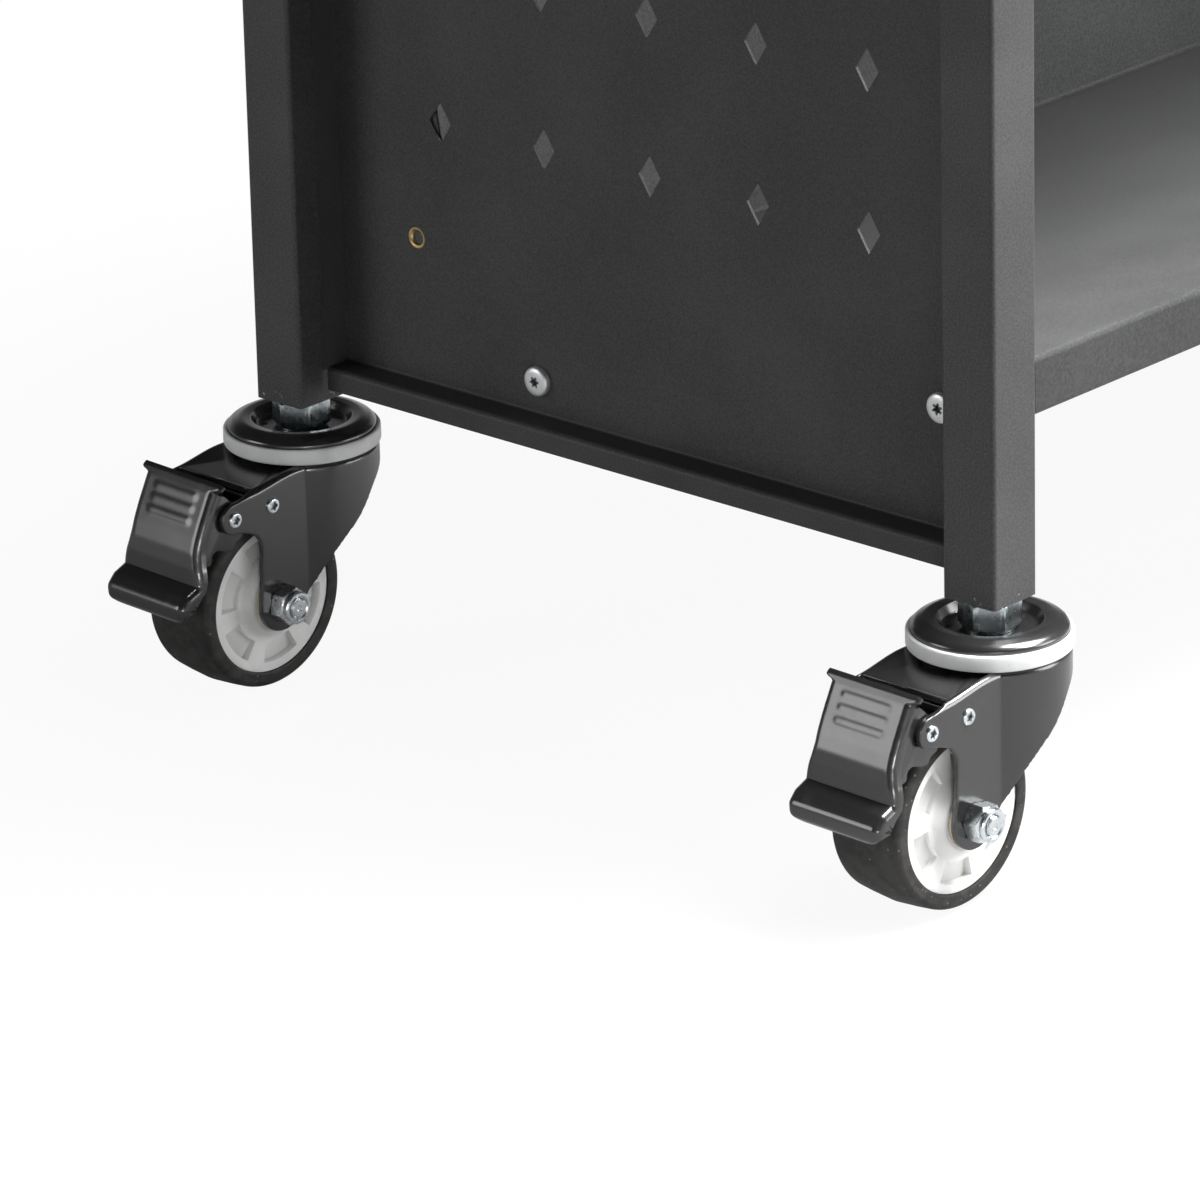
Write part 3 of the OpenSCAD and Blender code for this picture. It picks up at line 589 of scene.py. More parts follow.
def bevelled(piece, width, segments, angle):
    """Bevels the edges that are sharper than an angle in degrees."""
    modified(piece, "BEVEL", width=width, segments=segments, limit_method="ANGLE",
             angle_limit=math.radians(angle), use_clamp_overlap=True)
    return applied(piece)


def marked(piece, values):
    """Gives each point of a piece a value of 0 to 1 for the shade painted into its finish."""
    layer = piece.data.attributes.new("grime", "FLOAT", "POINT")
    layer.data.foreach_set("value", values)


def shade_mouth(piece, towards, level, reach, bottom):
    """Marks the inside of a head's mouth for painted shade, darker further in. The head's face looks along a
    direction at a level, and level, reach and bottom are in millimetres."""
    values = []
    for v in piece.data.vertices:
        height = v.co.dot(towards)
        off = (v.co - towards * height).length
        inside = off < reach * MM and height > bottom * MM
        values.append(smoothstep(0.25, 1.1, level - mm(height)) if inside else 0.0)
    marked(piece, values)


def join_pieces(name, parts, matrix=None):
    """One object from several, which are used up, with their painted shade kept."""
    shapes = []
    shade_values = []
    for part in parts:
        mesh = part.data
        shapes.append(([v.co.copy() for v in mesh.vertices], [tuple(p.vertices) for p in mesh.polygons]))
        layer = mesh.attributes.get("grime")
        shade_values += [spot.value for spot in layer.data] if layer else [0.0] * len(mesh.vertices)
        removed(part)
    made = raw_object(name, joined(*shapes), matrix)
    if any(shade_values):
        marked(made, shade_values)
    return made


def finished(piece, slot, body, node, smooth, look=None):
    """Gives a piece its finish, named by look or else by slot, and its body, and hides the node that it
    stands for. Edges sharper than the angle smooth stay sharp, and 0 leaves every face flat."""
    piece.data.materials.clear()
    piece.data.materials.append(finish(look or slot))
    for face in piece.data.polygons:
        face.use_smooth = smooth > 0
        face.material_index = 0
    if smooth:
        piece.data.set_sharp_from_angle(angle=math.radians(smooth))
    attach(piece, body)
    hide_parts(node)


# Nodes, with maths on their sockets as expressions

class Value:
    """A socket that can be calculated with, which adds Math nodes."""

    def __init__(self, kit, socket):
        self.kit = kit
        self.socket = socket

    def __add__(self, other):
        return self.kit.maths("ADD", self, other)

    __radd__ = __add__

    def __mul__(self, other):
        return self.kit.maths("MULTIPLY", self, other)

    __rmul__ = __mul__

    def __sub__(self, other):
        return self.kit.maths("SUBTRACT", self, other)

    def __rsub__(self, other):
        return self.kit.maths("SUBTRACT", other, self)

    def step(self, low, high, below=0.0, above=1.0):
        """One level below low and another above high, with a smooth step between them."""
        return self.kit.node("ShaderNodeMapRange", {"interpolation_type": "SMOOTHSTEP"}, {
            "Value": self, "From Min": low, "From Max": high, "To Min": below, "To Max": above,
        }, "Result")


class Nodes:
    """A node tree, with short ways to add to it."""

    def __init__(self, tree):
        self.tree = tree

    def node(self, kind, settings=None, values=None, output=0):
        """A node with its settings made first and then its sockets' values or links. A list
        of values goes to a socket that takes several."""
        made = self.tree.nodes.new(kind)
        for key, value in (settings or {}).items():
            setattr(made, key, value)
        for key, value in (values or {}).items():
            for one in value if isinstance(value, list) else [value]:
                self.give(made.inputs[key], one)
        return Value(self, made.outputs[output]) if made.outputs else None

    def give(self, socket, value):
        """Links a socket to a value's or sets it, also by a colour without its alpha."""
        if isinstance(value, Value):
            self.tree.links.new(value.socket, socket)
        elif socket.type == "RGBA":
            socket.default_value = (*value, 1)
        else:
            socket.default_value = value

    def maths(self, operation, a, b):
        """A Math node on two numbers."""
        return self.node("ShaderNodeMath", {"operation": operation}, {0: a, 1: b})

    def part(self, vector, letter):
        """One coordinate of a vector."""
        return self.node("ShaderNodeSeparateXYZ", {}, {"Vector": vector}, letter)

    def blend(self, mask, low, high):
        """A colour between two, by a mask. A Mix node's colours are its sockets 6, 7 and 2."""
        return self.node("ShaderNodeMix", {"data_type": "RGBA"}, {"Factor": mask, 6: low, 7: high}, 2)


class Finish(Nodes):
    """A material's nodes round its shader."""

    def __init__(self, name):
        self.material = bpy.data.materials.new(name)
        self.material.use_nodes = True
        super().__init__(self.material.node_tree)
        self.place = self.node("ShaderNodeTexCoord", output="Object")

    def noise(self, size, detail, roughness=0.5):
        """Noise with features of about a size in metres."""
        return self.node("ShaderNodeTexNoise", {}, {
            "Vector": self.place, "Scale": 1 / size, "Detail": detail, "Roughness": roughness,
        })

    def specks(self, spacing, core, edge, patch, low, high):
        """Specks at about a spacing, solid to the share core of it and gone at edge, in
        patches of a noise between two levels."""
        grains = self.node("ShaderNodeTexVoronoi", {}, {"Vector": self.place, "Scale": 1 / spacing})
        return (1 - grains.step(core, edge)) * patch.step(low, high)

    def grime(self):
        """The painted shade of recesses that a piece carries from point to point."""
        return self.node("ShaderNodeAttribute", {"attribute_name": "grime"}, output="Fac")

    def bump(self, height, depth, strength):
        """A bump from a height of 0 to 1 that stands for a depth in metres."""
        return self.node("ShaderNodeBump", {}, {
            "Height": height, "Distance": depth, "Strength": strength,
        }, "Normal")

    def made(self, **values):
        """The material, with its shader's own sockets set by their names with _ for a space."""
        shader = self.tree.nodes["Principled BSDF"]
        for key, value in values.items():
            self.give(shader.inputs[key.replace("_", " ")], value)
        return self.material


def shade(colour, factor):
    """A colour made lighter or darker."""
    return tuple(min(1.0, c * factor) for c in colour)


def powder_coat(name, colour, specular, grain=0.0007, rough=0.48, sheen=0.0, worn=0.0, lip=None):
    """Baked powder coat: a fine orange-peel grain, with faint dust and drifting gloss. It is chipped just
    above the height worn, and has shade painted in front of the depth lip, on the shelves' front lips."""
    kit = Finish(name)
    fine = kit.noise(grain, 3.0, 0.6)
    cloud = kit.noise(0.05, 2.0, 0.5)
    dust = kit.specks(0.0045, 0.02, 0.09, kit.noise(0.02, 1.0), 0.5, 0.75)
    mask = (cloud * 0.25 + fine * 0.75).step(0.34, 0.66)
    base = kit.blend(mask, shade(colour, 0.72), shade(colour, 1.28))
    base = kit.blend(dust * 0.35, base, shade(colour, 3.2))
    # Painted shade: the shelves' front lips are coloured darker than their floors.
    if lip is not None:
        front = 1 - kit.part(kit.place, "Y").step(lip + 0.0006, lip + 0.0022)
        lip_shade = kit.blend(mask, shade(colour, 0.42), shade(colour, 0.75))
        base = kit.blend(front, base, lip_shade)
    if worn:
        foot = 1 - kit.part(kit.place, "Z").step(worn + 0.001, worn + 0.006)
        chips = foot * kit.noise(0.0024, 3.0, 0.6).step(0.63, 0.68)
        base = kit.blend(chips, base, (0.42, 0.42, 0.41))
    return kit.made(Base_Color=base, Roughness=fine * 0.16 + cloud * 0.08 + (rough - 0.12),
                    Normal=kit.bump(fine, 0.00006, 0.5), Specular_IOR_Level=specular,
                    Sheen_Weight=sheen, Sheen_Roughness=0.4)


def gloss_paint(name, colour):
    """Gloss paint on pressed steel: soft waves, fine dust and a few dull touches."""
    kit = Finish(name)
    wave = kit.noise(0.016, 1.0, 0.4)
    touch = kit.noise(0.011, 3.0, 0.6).step(0.55, 0.75)
    dust = kit.specks(0.0036, 0.02, 0.07, kit.noise(0.013, 2.0), 0.56, 0.7)
    base = kit.blend(touch * 0.5, colour, shade(colour, 1.6))
    base = kit.blend(dust * 0.5, base, shade(colour, 10.0))
    return kit.made(Base_Color=base, Roughness=touch * 0.05 + wave * 0.04 + 0.19,
                    Normal=kit.bump(wave, 0.0002, 0.3), Specular_IOR_Level=1.0)


def zinc_plate(name, colour, mottle, rough, dark, metal=1.0):
    """Zinc plate over cut steel, mottled and darker in places, with shade painted in where it is marked."""
    kit = Finish(name)
    spots = kit.noise(mottle, 3.0, 0.55)
    cloud = kit.noise(mottle * 4, 2.0, 0.5)
    mask = (spots * 0.6 + cloud * 0.4).step(0.36, 0.56)
    base = kit.blend(mask, shade(colour, dark), colour)
    # Painted shade: near black in the marked mouths of screw and rivet heads.
    base = kit.blend(kit.grime() * 0.9, base, (0.05, 0.05, 0.04))
    return kit.made(Base_Color=base, Metallic=metal,
                    Roughness=(1 - mask) * 0.14 + spots * 0.06 + (rough - 0.03),
                    Normal=kit.bump(spots * 0.5 + cloud * 0.5, 0.00004, 0.4))


def moulded_plastic(name, colour, rough, specular, soft=0.0, pocket_shaded=False):
    """Moulded plastic: a faint flow pattern, fine matt grain and light handling marks, with painted shade in
    marked pockets when asked for.
    """
    kit = Finish(name)
    flow = kit.noise(0.011, 2.0, 0.5)
    grain = kit.noise(0.0005, 2.0, 0.5)
    mark = kit.noise(0.004, 4.0, 0.7).step(0.62, 0.74)
    base = kit.blend(flow.step(0.3, 0.7), shade(colour, 0.95), shade(colour, 1.03))
    base = kit.blend(mark * 0.35, base, shade(colour, 0.72))
    if pocket_shaded:
        # Painted shade in the rim's pockets, darkest at their outer edges.
        base = kit.blend(kit.grime() * 0.45, base, (0.34, 0.345, 0.32))
    return kit.made(Base_Color=base, Roughness=grain * 0.1 + mark * 0.12 + (rough - 0.05),
                    Normal=kit.bump(grain * 0.5 + flow * 0.5, 0.00005, 0.5),
                    Specular_IOR_Level=specular, Subsurface_Weight=soft,
                    Subsurface_Radius=(1, 1, 1), Subsurface_Scale=0.005)


def tread_rubber(name, colour):
    """Soft tread: matt skin, paler in random scuffs, with lint and pits."""
    kit = Finish(name)
    skin = kit.noise(0.0011, 4.0, 0.65)
    scuff = kit.noise(0.008, 4.0, 0.7)
    lint = kit.specks(0.0031, 0.07, 0.2, kit.noise(0.01, 2.0), 0.44, 0.6)
    base = kit.blend(scuff.step(0.36, 0.66), shade(colour, 0.75), shade(colour, 1.75))
    base = kit.blend(lint * 0.75, base, shade(colour, 9.0))
    return kit.made(Base_Color=base, Roughness=skin * 0.2 + scuff * 0.12 + 0.46,
                    Normal=kit.bump(skin * 0.6 + scuff * 0.4, 0.00022, 0.5), Specular_IOR_Level=0.35)


MADE_FINISHES = {}


def finish(name):
    """A finish by its name, made when it is first asked for."""
    if name in MADE_FINISHES:
        return MADE_FINISHES[name]
    tints = bpy.context.scene.cart_finishes
    post_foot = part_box("front_left_post")[0].z
    MADE_FINISHES[name] = {
        "post_paint": lambda: powder_coat(name, tints.post_paint, 0.24, 0.0009, worn=post_foot),
        "panel_paint": lambda: powder_coat(name, tints.panel_paint, 0.2, rough=0.5),
        "shelf_paint": lambda: powder_coat(name, tints.shelf_paint, 0.2, 0.0011, 0.44, sheen=0.12,
                                           lip=shelf_front()),
        "caster_black": lambda: gloss_paint(name, tints.caster_paint),
        "caster_zinc": lambda: zinc_plate(name, tints.zinc, 0.003, 0.21, 0.75),
        # Painted shade: the caster zinc made darker for the stems under the posts.
        "stem_zinc": lambda: zinc_plate(name, tints.stem_zinc, 0.003, 0.24, 0.55),
        "screw_zinc": lambda: zinc_plate(name, tints.screw_zinc, 0.005, 0.36, 0.88, 0.55),
        "insert_brass": lambda: zinc_plate(name, tints.brass, 0.002, 0.34, 0.6),
        "bearing_steel": lambda: zinc_plate(name, tints.bearing, 0.003, 0.3, 0.8),
        "dust_ring_plastic": lambda: moulded_plastic(name, tints.ring, 0.34, 0.5, 0.6),
        "rim_plastic": lambda: moulded_plastic(name, tints.rim, 0.5, 0.3, pocket_shaded=True),
        "tread_rubber": lambda: tread_rubber(name, tints.tread),
    }[name]()
    return MADE_FINISHES[name]


def paint_node(node, name):
    """Gives a node that stays its finish."""
    piece = frame["nodes"][node]
    piece.data.materials.clear()
    piece.data.materials.append(finish(name))


# Geometry node trees for what repeats

class PieceTree(Nodes):
    """A geometry tree with named inputs, given as names and kinds of socket."""

    def __init__(self, name, inputs):
        super().__init__(bpy.data.node_groups.new(name, "GeometryNodeTree"))
        add = self.tree.interface.new_socket
        add("Geometry", in_out="INPUT", socket_type="NodeSocketGeometry")
        self.found = {}
        for label, kind in inputs.items():
            self.found[label] = add(label, in_out="INPUT", socket_type="NodeSocket" + kind).identifier
        add("Geometry", in_out="OUTPUT", socket_type="NodeSocketGeometry")
        self.start = self.tree.nodes.new("NodeGroupInput")

    def given(self, label):
        """One of the tree's inputs."""
        return Value(self, self.start.outputs[label])

    def of_object(self, label):
        """The mesh of an object that the tree is given."""
        return self.node("GeometryNodeObjectInfo", {}, {"Object": self.given(label)}, "Geometry")

    def upright(self, geometry):
        """Stands flat geometry up across the cart's ends."""
        return self.node("GeometryNodeTransform", {}, {
            "Geometry": geometry, "Rotation": (math.pi / 2, 0, math.pi / 2),
        })

    def ends_with(self, geometry):
        """Gives the tree's result its finish."""
        painted = self.node("GeometryNodeSetMaterial", {}, {
            "Geometry": geometry, "Material": self.given("Finish"),
        })
        self.node("NodeGroupOutput", {}, {"Geometry": painted})

    def run_on(self, piece, values):
        """Gives the inputs their values and turns the piece into the tree's result."""
        modifier = piece.modifiers.new(self.tree.name, "NODES")
        modifier.node_group = self.tree
        for label, value in values.items():
            modifier[self.found[label]] = value
        return applied(piece)


def scattered(name, fixing, places, material):
    """Copies of a fixing, which is used up, at places that each hold a point and the angles
    that it is turned by."""
    tree = PieceTree("Fixings", {"Fixing": "Object", "Size": "Float", "Finish": "Material"})
    turn = tree.node("GeometryNodeInputNamedAttribute", {"data_type": "FLOAT_VECTOR"},
                     {"Name": "turn"}, "Attribute")
    facing = tree.node("FunctionNodeEulerToRotation", {}, {"Euler": turn})
    copies = tree.node("GeometryNodeInstanceOnPoints", {}, {
        "Points": tree.given("Geometry"), "Instance": tree.of_object("Fixing"),
        "Rotation": facing, "Scale": tree.given("Size"),
    })
    tree.ends_with(tree.node("GeometryNodeRealizeInstances", {}, {"Geometry": copies}))
    made = raw_object(name, ([point for point, _ in places], []))
    turns = made.data.attributes.new("turn", "FLOAT_VECTOR", "POINT")
    turns.data.foreach_set("vector", [a for _, angles in places for a in angles])
    tree.run_on(made, {"Fixing": fixing, "Size": 1.0, "Finish": material})
    removed(fixing)
    return made


def perforation_tree():
    """Cuts diamond holes in rows and columns, and the drills' round holes, out of a sheet."""
    tree = PieceTree("Perforations", {
        "Columns": "Int", "Rows": "Int", "Column Pitch": "Float", "Row Pitch": "Float", "Hole Width": "Float",
        "Hole Height": "Float", "Middle": "Vector", "Drills": "Object", "Finish": "Material",
    })
    columns, rows = tree.given("Columns"), tree.given("Rows")
    grid = tree.node("GeometryNodeMeshGrid", {}, {
        "Size X": (columns - 1) * tree.given("Column Pitch"),
        "Size Y": (rows - 1) * tree.given("Row Pitch"),
        "Vertices X": columns, "Vertices Y": rows,
    })
    spots = tree.node("GeometryNodeTransform", {}, {
        "Geometry": tree.upright(grid), "Translation": tree.given("Middle"),
    })
    size = tree.node("ShaderNodeCombineXYZ", {}, {
        "X": tree.given("Hole Width"), "Y": tree.given("Hole Height"), "Z": 1,
    })
    square = tree.node("GeometryNodeMeshCylinder", {}, {"Vertices": 4, "Radius": 0.5, "Depth": 8})
    diamond = tree.node("GeometryNodeTransform", {}, {"Geometry": square, "Scale": size})
    punches = tree.node("GeometryNodeInstanceOnPoints", {}, {
        "Points": spots, "Instance": tree.upright(diamond),
    })
    punches = tree.node("GeometryNodeRealizeInstances", {}, {"Geometry": punches})
    tools = tree.node("GeometryNodeJoinGeometry", {}, {"Geometry": [tree.of_object("Drills"), punches]})
    tree.ends_with(tree.node("GeometryNodeMeshBoolean", {"operation": "DIFFERENCE", "solver": "MANIFOLD"}, {
        "Mesh 1": tree.given("Geometry"), "Mesh 2": tools,
    }))
    return tree


# Operators

class PaintTubes(bpy.types.Operator):
    """Powder coats the posts and the handles."""

    bl_idname = "bookcart.paint_tubes"
    bl_label = "Paint tubes"

    def execute(self, context):
        for node in [corner + "_post" for corner in CORNERS] + [end + "_handle" for end in ENDS]:
            paint_node(node, "post_paint")
        return {"FINISHED"}


def panel_piece(end):
    """An end panel: a perforated sheet folded at its foot, with folded strips at its sides."""
    s = sizes()
    sheet, fold = mm(s.sheet), mm(s.fold)
    node = end + "_end_panel"
    matrix = end_matrix(end)
    low, high = (matrix.inverted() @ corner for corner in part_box(node))
    x0, x1 = min(low.x, high.x), max(low.x, high.x)
    ledge = low.z + mm(s.lip) - sheet
    line = [(x0 + sheet, low.z), (x0 + sheet, ledge), (x1, ledge), (x1, high.z), (x0, high.z)]
    outline = folded(line, [fold - sheet, fold, fold], sheet)
    face = solid(node + "_sheet", prism(outline, low.y + fold, high.y - fold))
    drill = rod(4.4, x0, x1 + 4, 40, "x")
    drills = [moved(drill, 0, spot.x, spot.y) for spot in fixing_places(OPEN)]
    drills = solid(node + "_drills", joined(*drills))
    first, pitch = mm(s.first_row), mm(s.row_pitch)
    rows = int((high.z - mm(s.lip) - mm(s.hole_height) - first) / pitch) + 1
    perforation_tree().run_on(face, {
        "Columns": s.columns, "Rows": rows, "Column Pitch": mm(s.column_pitch), "Row Pitch": pitch,
        "Hole Width": mm(s.hole_width), "Hole Height": mm(s.hole_height),
        "Middle": (x1 - sheet / 2, (low.y + high.y) / 2, first + (rows - 1) * pitch / 2),
        "Drills": drills, "Finish": finish("panel_paint"),
    })
    removed(drills)
    sides = []
    for y, inward in ((low.y, 1), (high.y, -1)):
        edge = [(x0, y), (x1, y), (x1, y + inward * (fold + 0.02))]
        sides.append(prism(folded(edge, fold, inward * sheet), ledge, high.z, "z"))
    strips = solid(node + "_sides", joined(*sides))
    return join_pieces(node + "_folded", [face, strips], matrix)


class MakePanels(bpy.types.Operator):
    """Makes the folded and perforated end panels."""

    bl_idname = "bookcart.make_panels"
    bl_label = "Make end panels"

    def execute(self, context):
        for end in ENDS:
            finished(panel_piece(end), "panel_paint", "cart_frame", end + "_end_panel", smooth=0)
        return {"FINISHED"}


def shelf_outline():
    """A shelf's sheet from the side: lip hem, lip, floor, back and top hem."""
    s = sizes()
    along, up = shelf_directions()
    corner = along * mm(s.floor)
    top = corner + up * mm(s.back)
    hem, lip = mm(s.hem), mm(s.front_lip)
    line = [(hem, -lip), (0, -lip), (0, 0), corner, top, top + along * hem]
    fold_radius = 2.4
    return folded(line, fold_radius, -mm(s.sheet))


def flange_outline():
    """A shelf's end flange from the side: a strip under the floor and behind the back."""
    s = sizes()
    sheet, depth = mm(s.sheet), mm(s.end_flange)
    along, up = shelf_directions()
    corner = along * mm(s.floor)
    front_gap, top_gap = 10, 6
    start = along * front_gap
    stop = corner + up * mm(s.back) - up * top_gap
    return closed_rounded([
        start - up * sheet * 0.5,
        corner + (along - up) * (sheet * 0.5),
        stop + along * sheet * 0.5,
        stop + along * depth,
        corner - up * depth * 0.3 + along * depth,
        corner - up * depth + along * depth * 0.3,
        start - up * depth,
    ], [0.2, 0.2, 0.2, 5, 6, 6, 5])


class MakeShelves(bpy.types.Operator):
    """Makes the three folded V shelves with their end flanges."""

    bl_idname = "bookcart.make_shelves"
    bl_label = "Make shelves"

    def execute(self, context):
        s = sizes()
        sheet = mm(s.sheet)
        outline, flange = shelf_outline(), flange_outline()
        for level, name in enumerate(SHELVES):
            node = name + "_shelf"
            low, high = (mm(corner.x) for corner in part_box(node))
            parts = [
                solid(node + "_sheet", prism(outline, low, high, "x")),
                solid(node + "_flange", prism(flange, low, low + sheet, "x")),
                solid(node + "_flange", prism(flange, high - sheet, high, "x")),
            ]
            origin = Vector((0, shelf_front(), s.shelf_base + level * s.shelf_pitch))
            place = Matrix.Translation(origin) @ Matrix.Scale(MM, 4)
            whole = join_pieces(node + "_folded", parts, place)
            finished(whole, "shelf_paint", "cart_frame", node, smooth=0)
        return {"FINISHED"}


# Heights of the heads of a screw and of a rivet, in millimetres
PAN_HEIGHT = 3.2
RIVET_HEIGHT = 0.98


def screw_shape():
    """Pan head screw with a six-lobe recess, its axis along x and its head towards -x."""
    head = 6.0
    shank = 2.45
    recess_depth = 1.9

    def dome(r):
        return PAN_HEIGHT * (1 - 0.3 * (r / head) ** 6)

    profile = [(0, dome(0) - recess_depth)]
    profile += [(r, dome(r)) for r in spaced(0.2, 3.0, 0.16) + [3.4, 4.0, 4.5, 5.0, 5.35, 5.65]]
    profile += [(5.86, dome(5.86) - 0.25), (5.97, dome(head) - 0.6), (head, 1.0), (5.98, 0.35), (5.8, 0.05)]
    profile += [(shank, 0.0), (shank, -12.0), (0, -12.0)]
    recess = star_mouth(lobes=6, radius=1.8, swing=0.5, soft=(0.22, 0.14), depth=recess_depth, reach=3.0,
                        seat=0.4)
    points, faces = turned(profile, 72, shape=recess)
    return [(-z, y, x) for x, y, z in points], faces


def insert_shape():
    """Threaded insert with a rolled flange, its axis along x and its mouth towards -x."""
    def thread(r, h, angle):
        if r > 2.9:
            return r, h
        return 2.5 + thread_wave(h, angle, 1.0, 0.38), h

    profile = [(4.25, 0.0), (4.3, 0.12), (4.3, 1.2), (3.8, 1.22), (3.8, 12.7), (3.5, 13.0), (2.88, 13.0)]
    profile += [(2.88, h) for h in spaced(12.75, 0.5, -0.25)]
    profile += [(2.91, 0.45), (3.15, 0.12), (3.4, 0.0)]
    points, faces = turned(profile, 40, closed=True, shape=thread)
    return [(z, y, -x) for x, y, z in points], faces


class MakeFixings(bpy.types.Operator):
    """Makes the pan head screws and the threaded inserts at every shelf end."""

    bl_idname = "bookcart.make_fixings"
    bl_label = "Make screws and inserts"

    def execute(self, context):
        screw = solid("one_screw", screw_shape(), Matrix.Scale(MM, 4))
        shade_mouth(screw, Vector((-1, 0, 0)), PAN_HEIGHT, reach=2.9, bottom=0.3)
        insert = solid("one_insert", insert_shape(), Matrix.Scale(MM, 4))
        for name, fixing, which, node, slot in (
            ("pan_head_screws", screw, SCREWED, "shelf_screws", "screw_zinc"),
            ("threaded_inserts", insert, ALL_FIXINGS, "shelf_inserts", "insert_brass"),
        ):
            places = []
            for end in ENDS:
                matrix = end_matrix(end)
                for i, spot in enumerate(fixing_places(which)):
                    at = matrix @ Vector((mm(sizes().recess), spot.x, spot.y))
                    spin = math.radians(17 * i + 8)
                    places.append((at, (spin, 0, 0 if end == "left" else math.pi)))
            made = scattered(name, fixing, places, finish(slot))
            finished(made, slot, "cart_frame", node, smooth=32)
        paint_node("caster_sockets", "caster_zinc")
        paint_node("race_balls", "bearing_steel")
        return {"FINISHED"}


# How far each corner's stem, axle nut and wheel happen to be turned, in degrees
STEM_TURNS = {"front_left": 40, "rear_left": 33, "front_right": 5, "rear_right": 41}
NUT_TURNS = {"front_left": 20, "rear_left": 47, "front_right": 5, "rear_right": 33}
WHEEL_TURNS = {"front_left": 37, "rear_left": 21, "front_right": 12, "rear_right": 50}


def stem_piece(corner, place):
    """A caster's stem with its bevelled hexagon, the flange under it and the lower race."""
    hexagonal = solid(corner + "_stem_hexagon",
                      spun(hexagon(20.8, HEXAGON_FOOT, -0.02), STEM_TURNS[corner], "Z"))
    bevelled(hexagonal, 0.5, segments=2, angle=30)
    flange = [(0, CUP_TOP), (9.7, CUP_TOP), (9.9, -12.0), (9.9, -11.5), (9.7, HEXAGON_FOOT),
              (0, HEXAGON_FOOT)]
    race = [(0, -22.5), (9.6, -22.5), (10.8, -21.6), (11, -20.6), (11, -19.0), (0, -19.0)]
    shank = solid(corner + "_stem_shank", joined(
        turned(flange, 72),
        turned([(0, -0.5), (6, -0.5), (6, 31), (5, 32), (0, 32)], 40),
        turned(race, 72),
    ))
    return join_pieces(corner + "_stem_turned", [hexagonal, shank], place)


def cup_shape(cup):
    """A pressed race cup with five peened dents in its dish."""
    outer = rounded([
        (6.05, CUP_TOP), (18.0, CUP_TOP), (20.4, -8.3), (24.5, -7.95), (28.2, -9.3), (cup, -11.0),
        (cup, -13.0),
    ], [2.0, 0.7, 6.0, 5.0, 1.6])
    inner = beside(outer, -1.4)[::-1]
    dish = [Vector((r, CUP_TOP)) for r in (12.4, 13.2, 14, 14.8, 15.6, 16.4, 17.2)]
    dents, dent_circle = 5, 15.6

    def peened(r, h, angle):
        if not (12 < r < 18.5 and h > -12.6):
            return r, h
        worst = 0.0
        for k in range(dents):
            a = TAU * k / dents + 0.4
            d = math.hypot(r * math.cos(angle) - dent_circle * math.cos(a),
                           r * math.sin(angle) - dent_circle * math.sin(a))
            worst = max(worst, 1 - smoothstep(0.4, 1.5, d))
        return r, h - 0.7 * worst

    line = [outer[0], *dish, *[p for p in outer[1:] if p.x > 17.3], *inner]
    return turned(line, 120, closed=True, shape=peened)


def dust_ring_shape(cup, ring):
    """A moulded dust ring, whose rim stands up round the cup."""
    profile = closed_rounded([
        (ring - 2.6, RING_FOOT), (ring, RING_FOOT), (ring, -12.3), (cup + 0.25, -12.3), (cup + 0.25, -13.4),
        (ring - 2.6, -13.4),
    ], [0.3, 1.0, 0.75, 0.2, 0.2, 0.3], 5)
    return turned(profile, 120, closed=True)


class MakeSwivels(bpy.types.Operator):
    """Makes the stems, race cups and dust rings of the casters."""

    bl_idname = "bookcart.make_swivels"
    bl_label = "Make swivels"

    def execute(self, context):
        c = caster()
        cup, ring = mm(c.cup_radius), mm(c.ring_radius)
        for corner in CORNERS:
            place = corner_matrix(corner)
            finished(stem_piece(corner, place), "caster_zinc", "cart_frame", corner + "_stem", smooth=22,
                     look="stem_zinc")
            made = solid(corner + "_race_cup_pressed", cup_shape(cup), place)
            finished(made, "caster_black", "cart_frame", corner + "_race_cup", smooth=50)
            made = solid(corner + "_dust_ring_moulded", dust_ring_shape(cup, ring), place)
            finished(made, "dust_ring_plastic", corner + "_swivel_body", corner + "_dust_ring", smooth=50)
        return {"FINISHED"}


def fork_plan(inset, reach):
    """The fork's plan outline, drawn in by inset: one straight side from its rear edge at
    reach, the round front and the other side."""
    c = caster()
    radius = mm(c.fork_radius) - inset
    half = mm(c.fork_half) - inset
    crease = math.acos(math.sqrt(max(0.0, radius ** 2 - half ** 2)) / radius)
    bend = radius * math.cos(crease)
    steps, front_steps = 22, 72
    points = [(reach + (bend - reach) * i / steps, half) for i in range(steps)]
    for i in range(front_steps + 1):
        a = crease + (TAU - 2 * crease) * i / front_steps
        points.append((radius * math.cos(a), radius * math.sin(a)))
    return points + [(bend + (reach - bend) * i / steps, -half) for i in range(1, steps + 1)]


def fork_shell(inset, bend, reach, low, braked):
    """A closed solid of the fork's plan down to a level, drawn in and down by inset and
    rounded over at its top. A braked fork's roof falls towards its rear."""
    def roof(x):
        return RING_FOOT - 3.6 * smoothstep(24, 52, x) if braked else RING_FOOT

    rings = []
    steps = 7
    for i in range(steps + 1):
        a = math.pi / 2 * i / steps
        draw, down = bend * (1 - math.sin(a)), bend * (1 - math.cos(a))
        rings.append([(x, y, roof(x) - inset - down) for x, y in fork_plan(inset + draw, reach)])
    rings.append([(x, y, low) for x, y in fork_plan(inset, reach)])
    n = len(rings[0])
    last = n * (len(rings) - 1)
    faces = [tuple(range(n)), tuple(range(last, last + n))[::-1]]
    for start in range(0, last, n):
        for i in range(n):
            j = (i + 1) % n
            faces.append((start + i, start + n + i, start + n + j, start + j))
    return [p for ring in rings for p in ring], faces


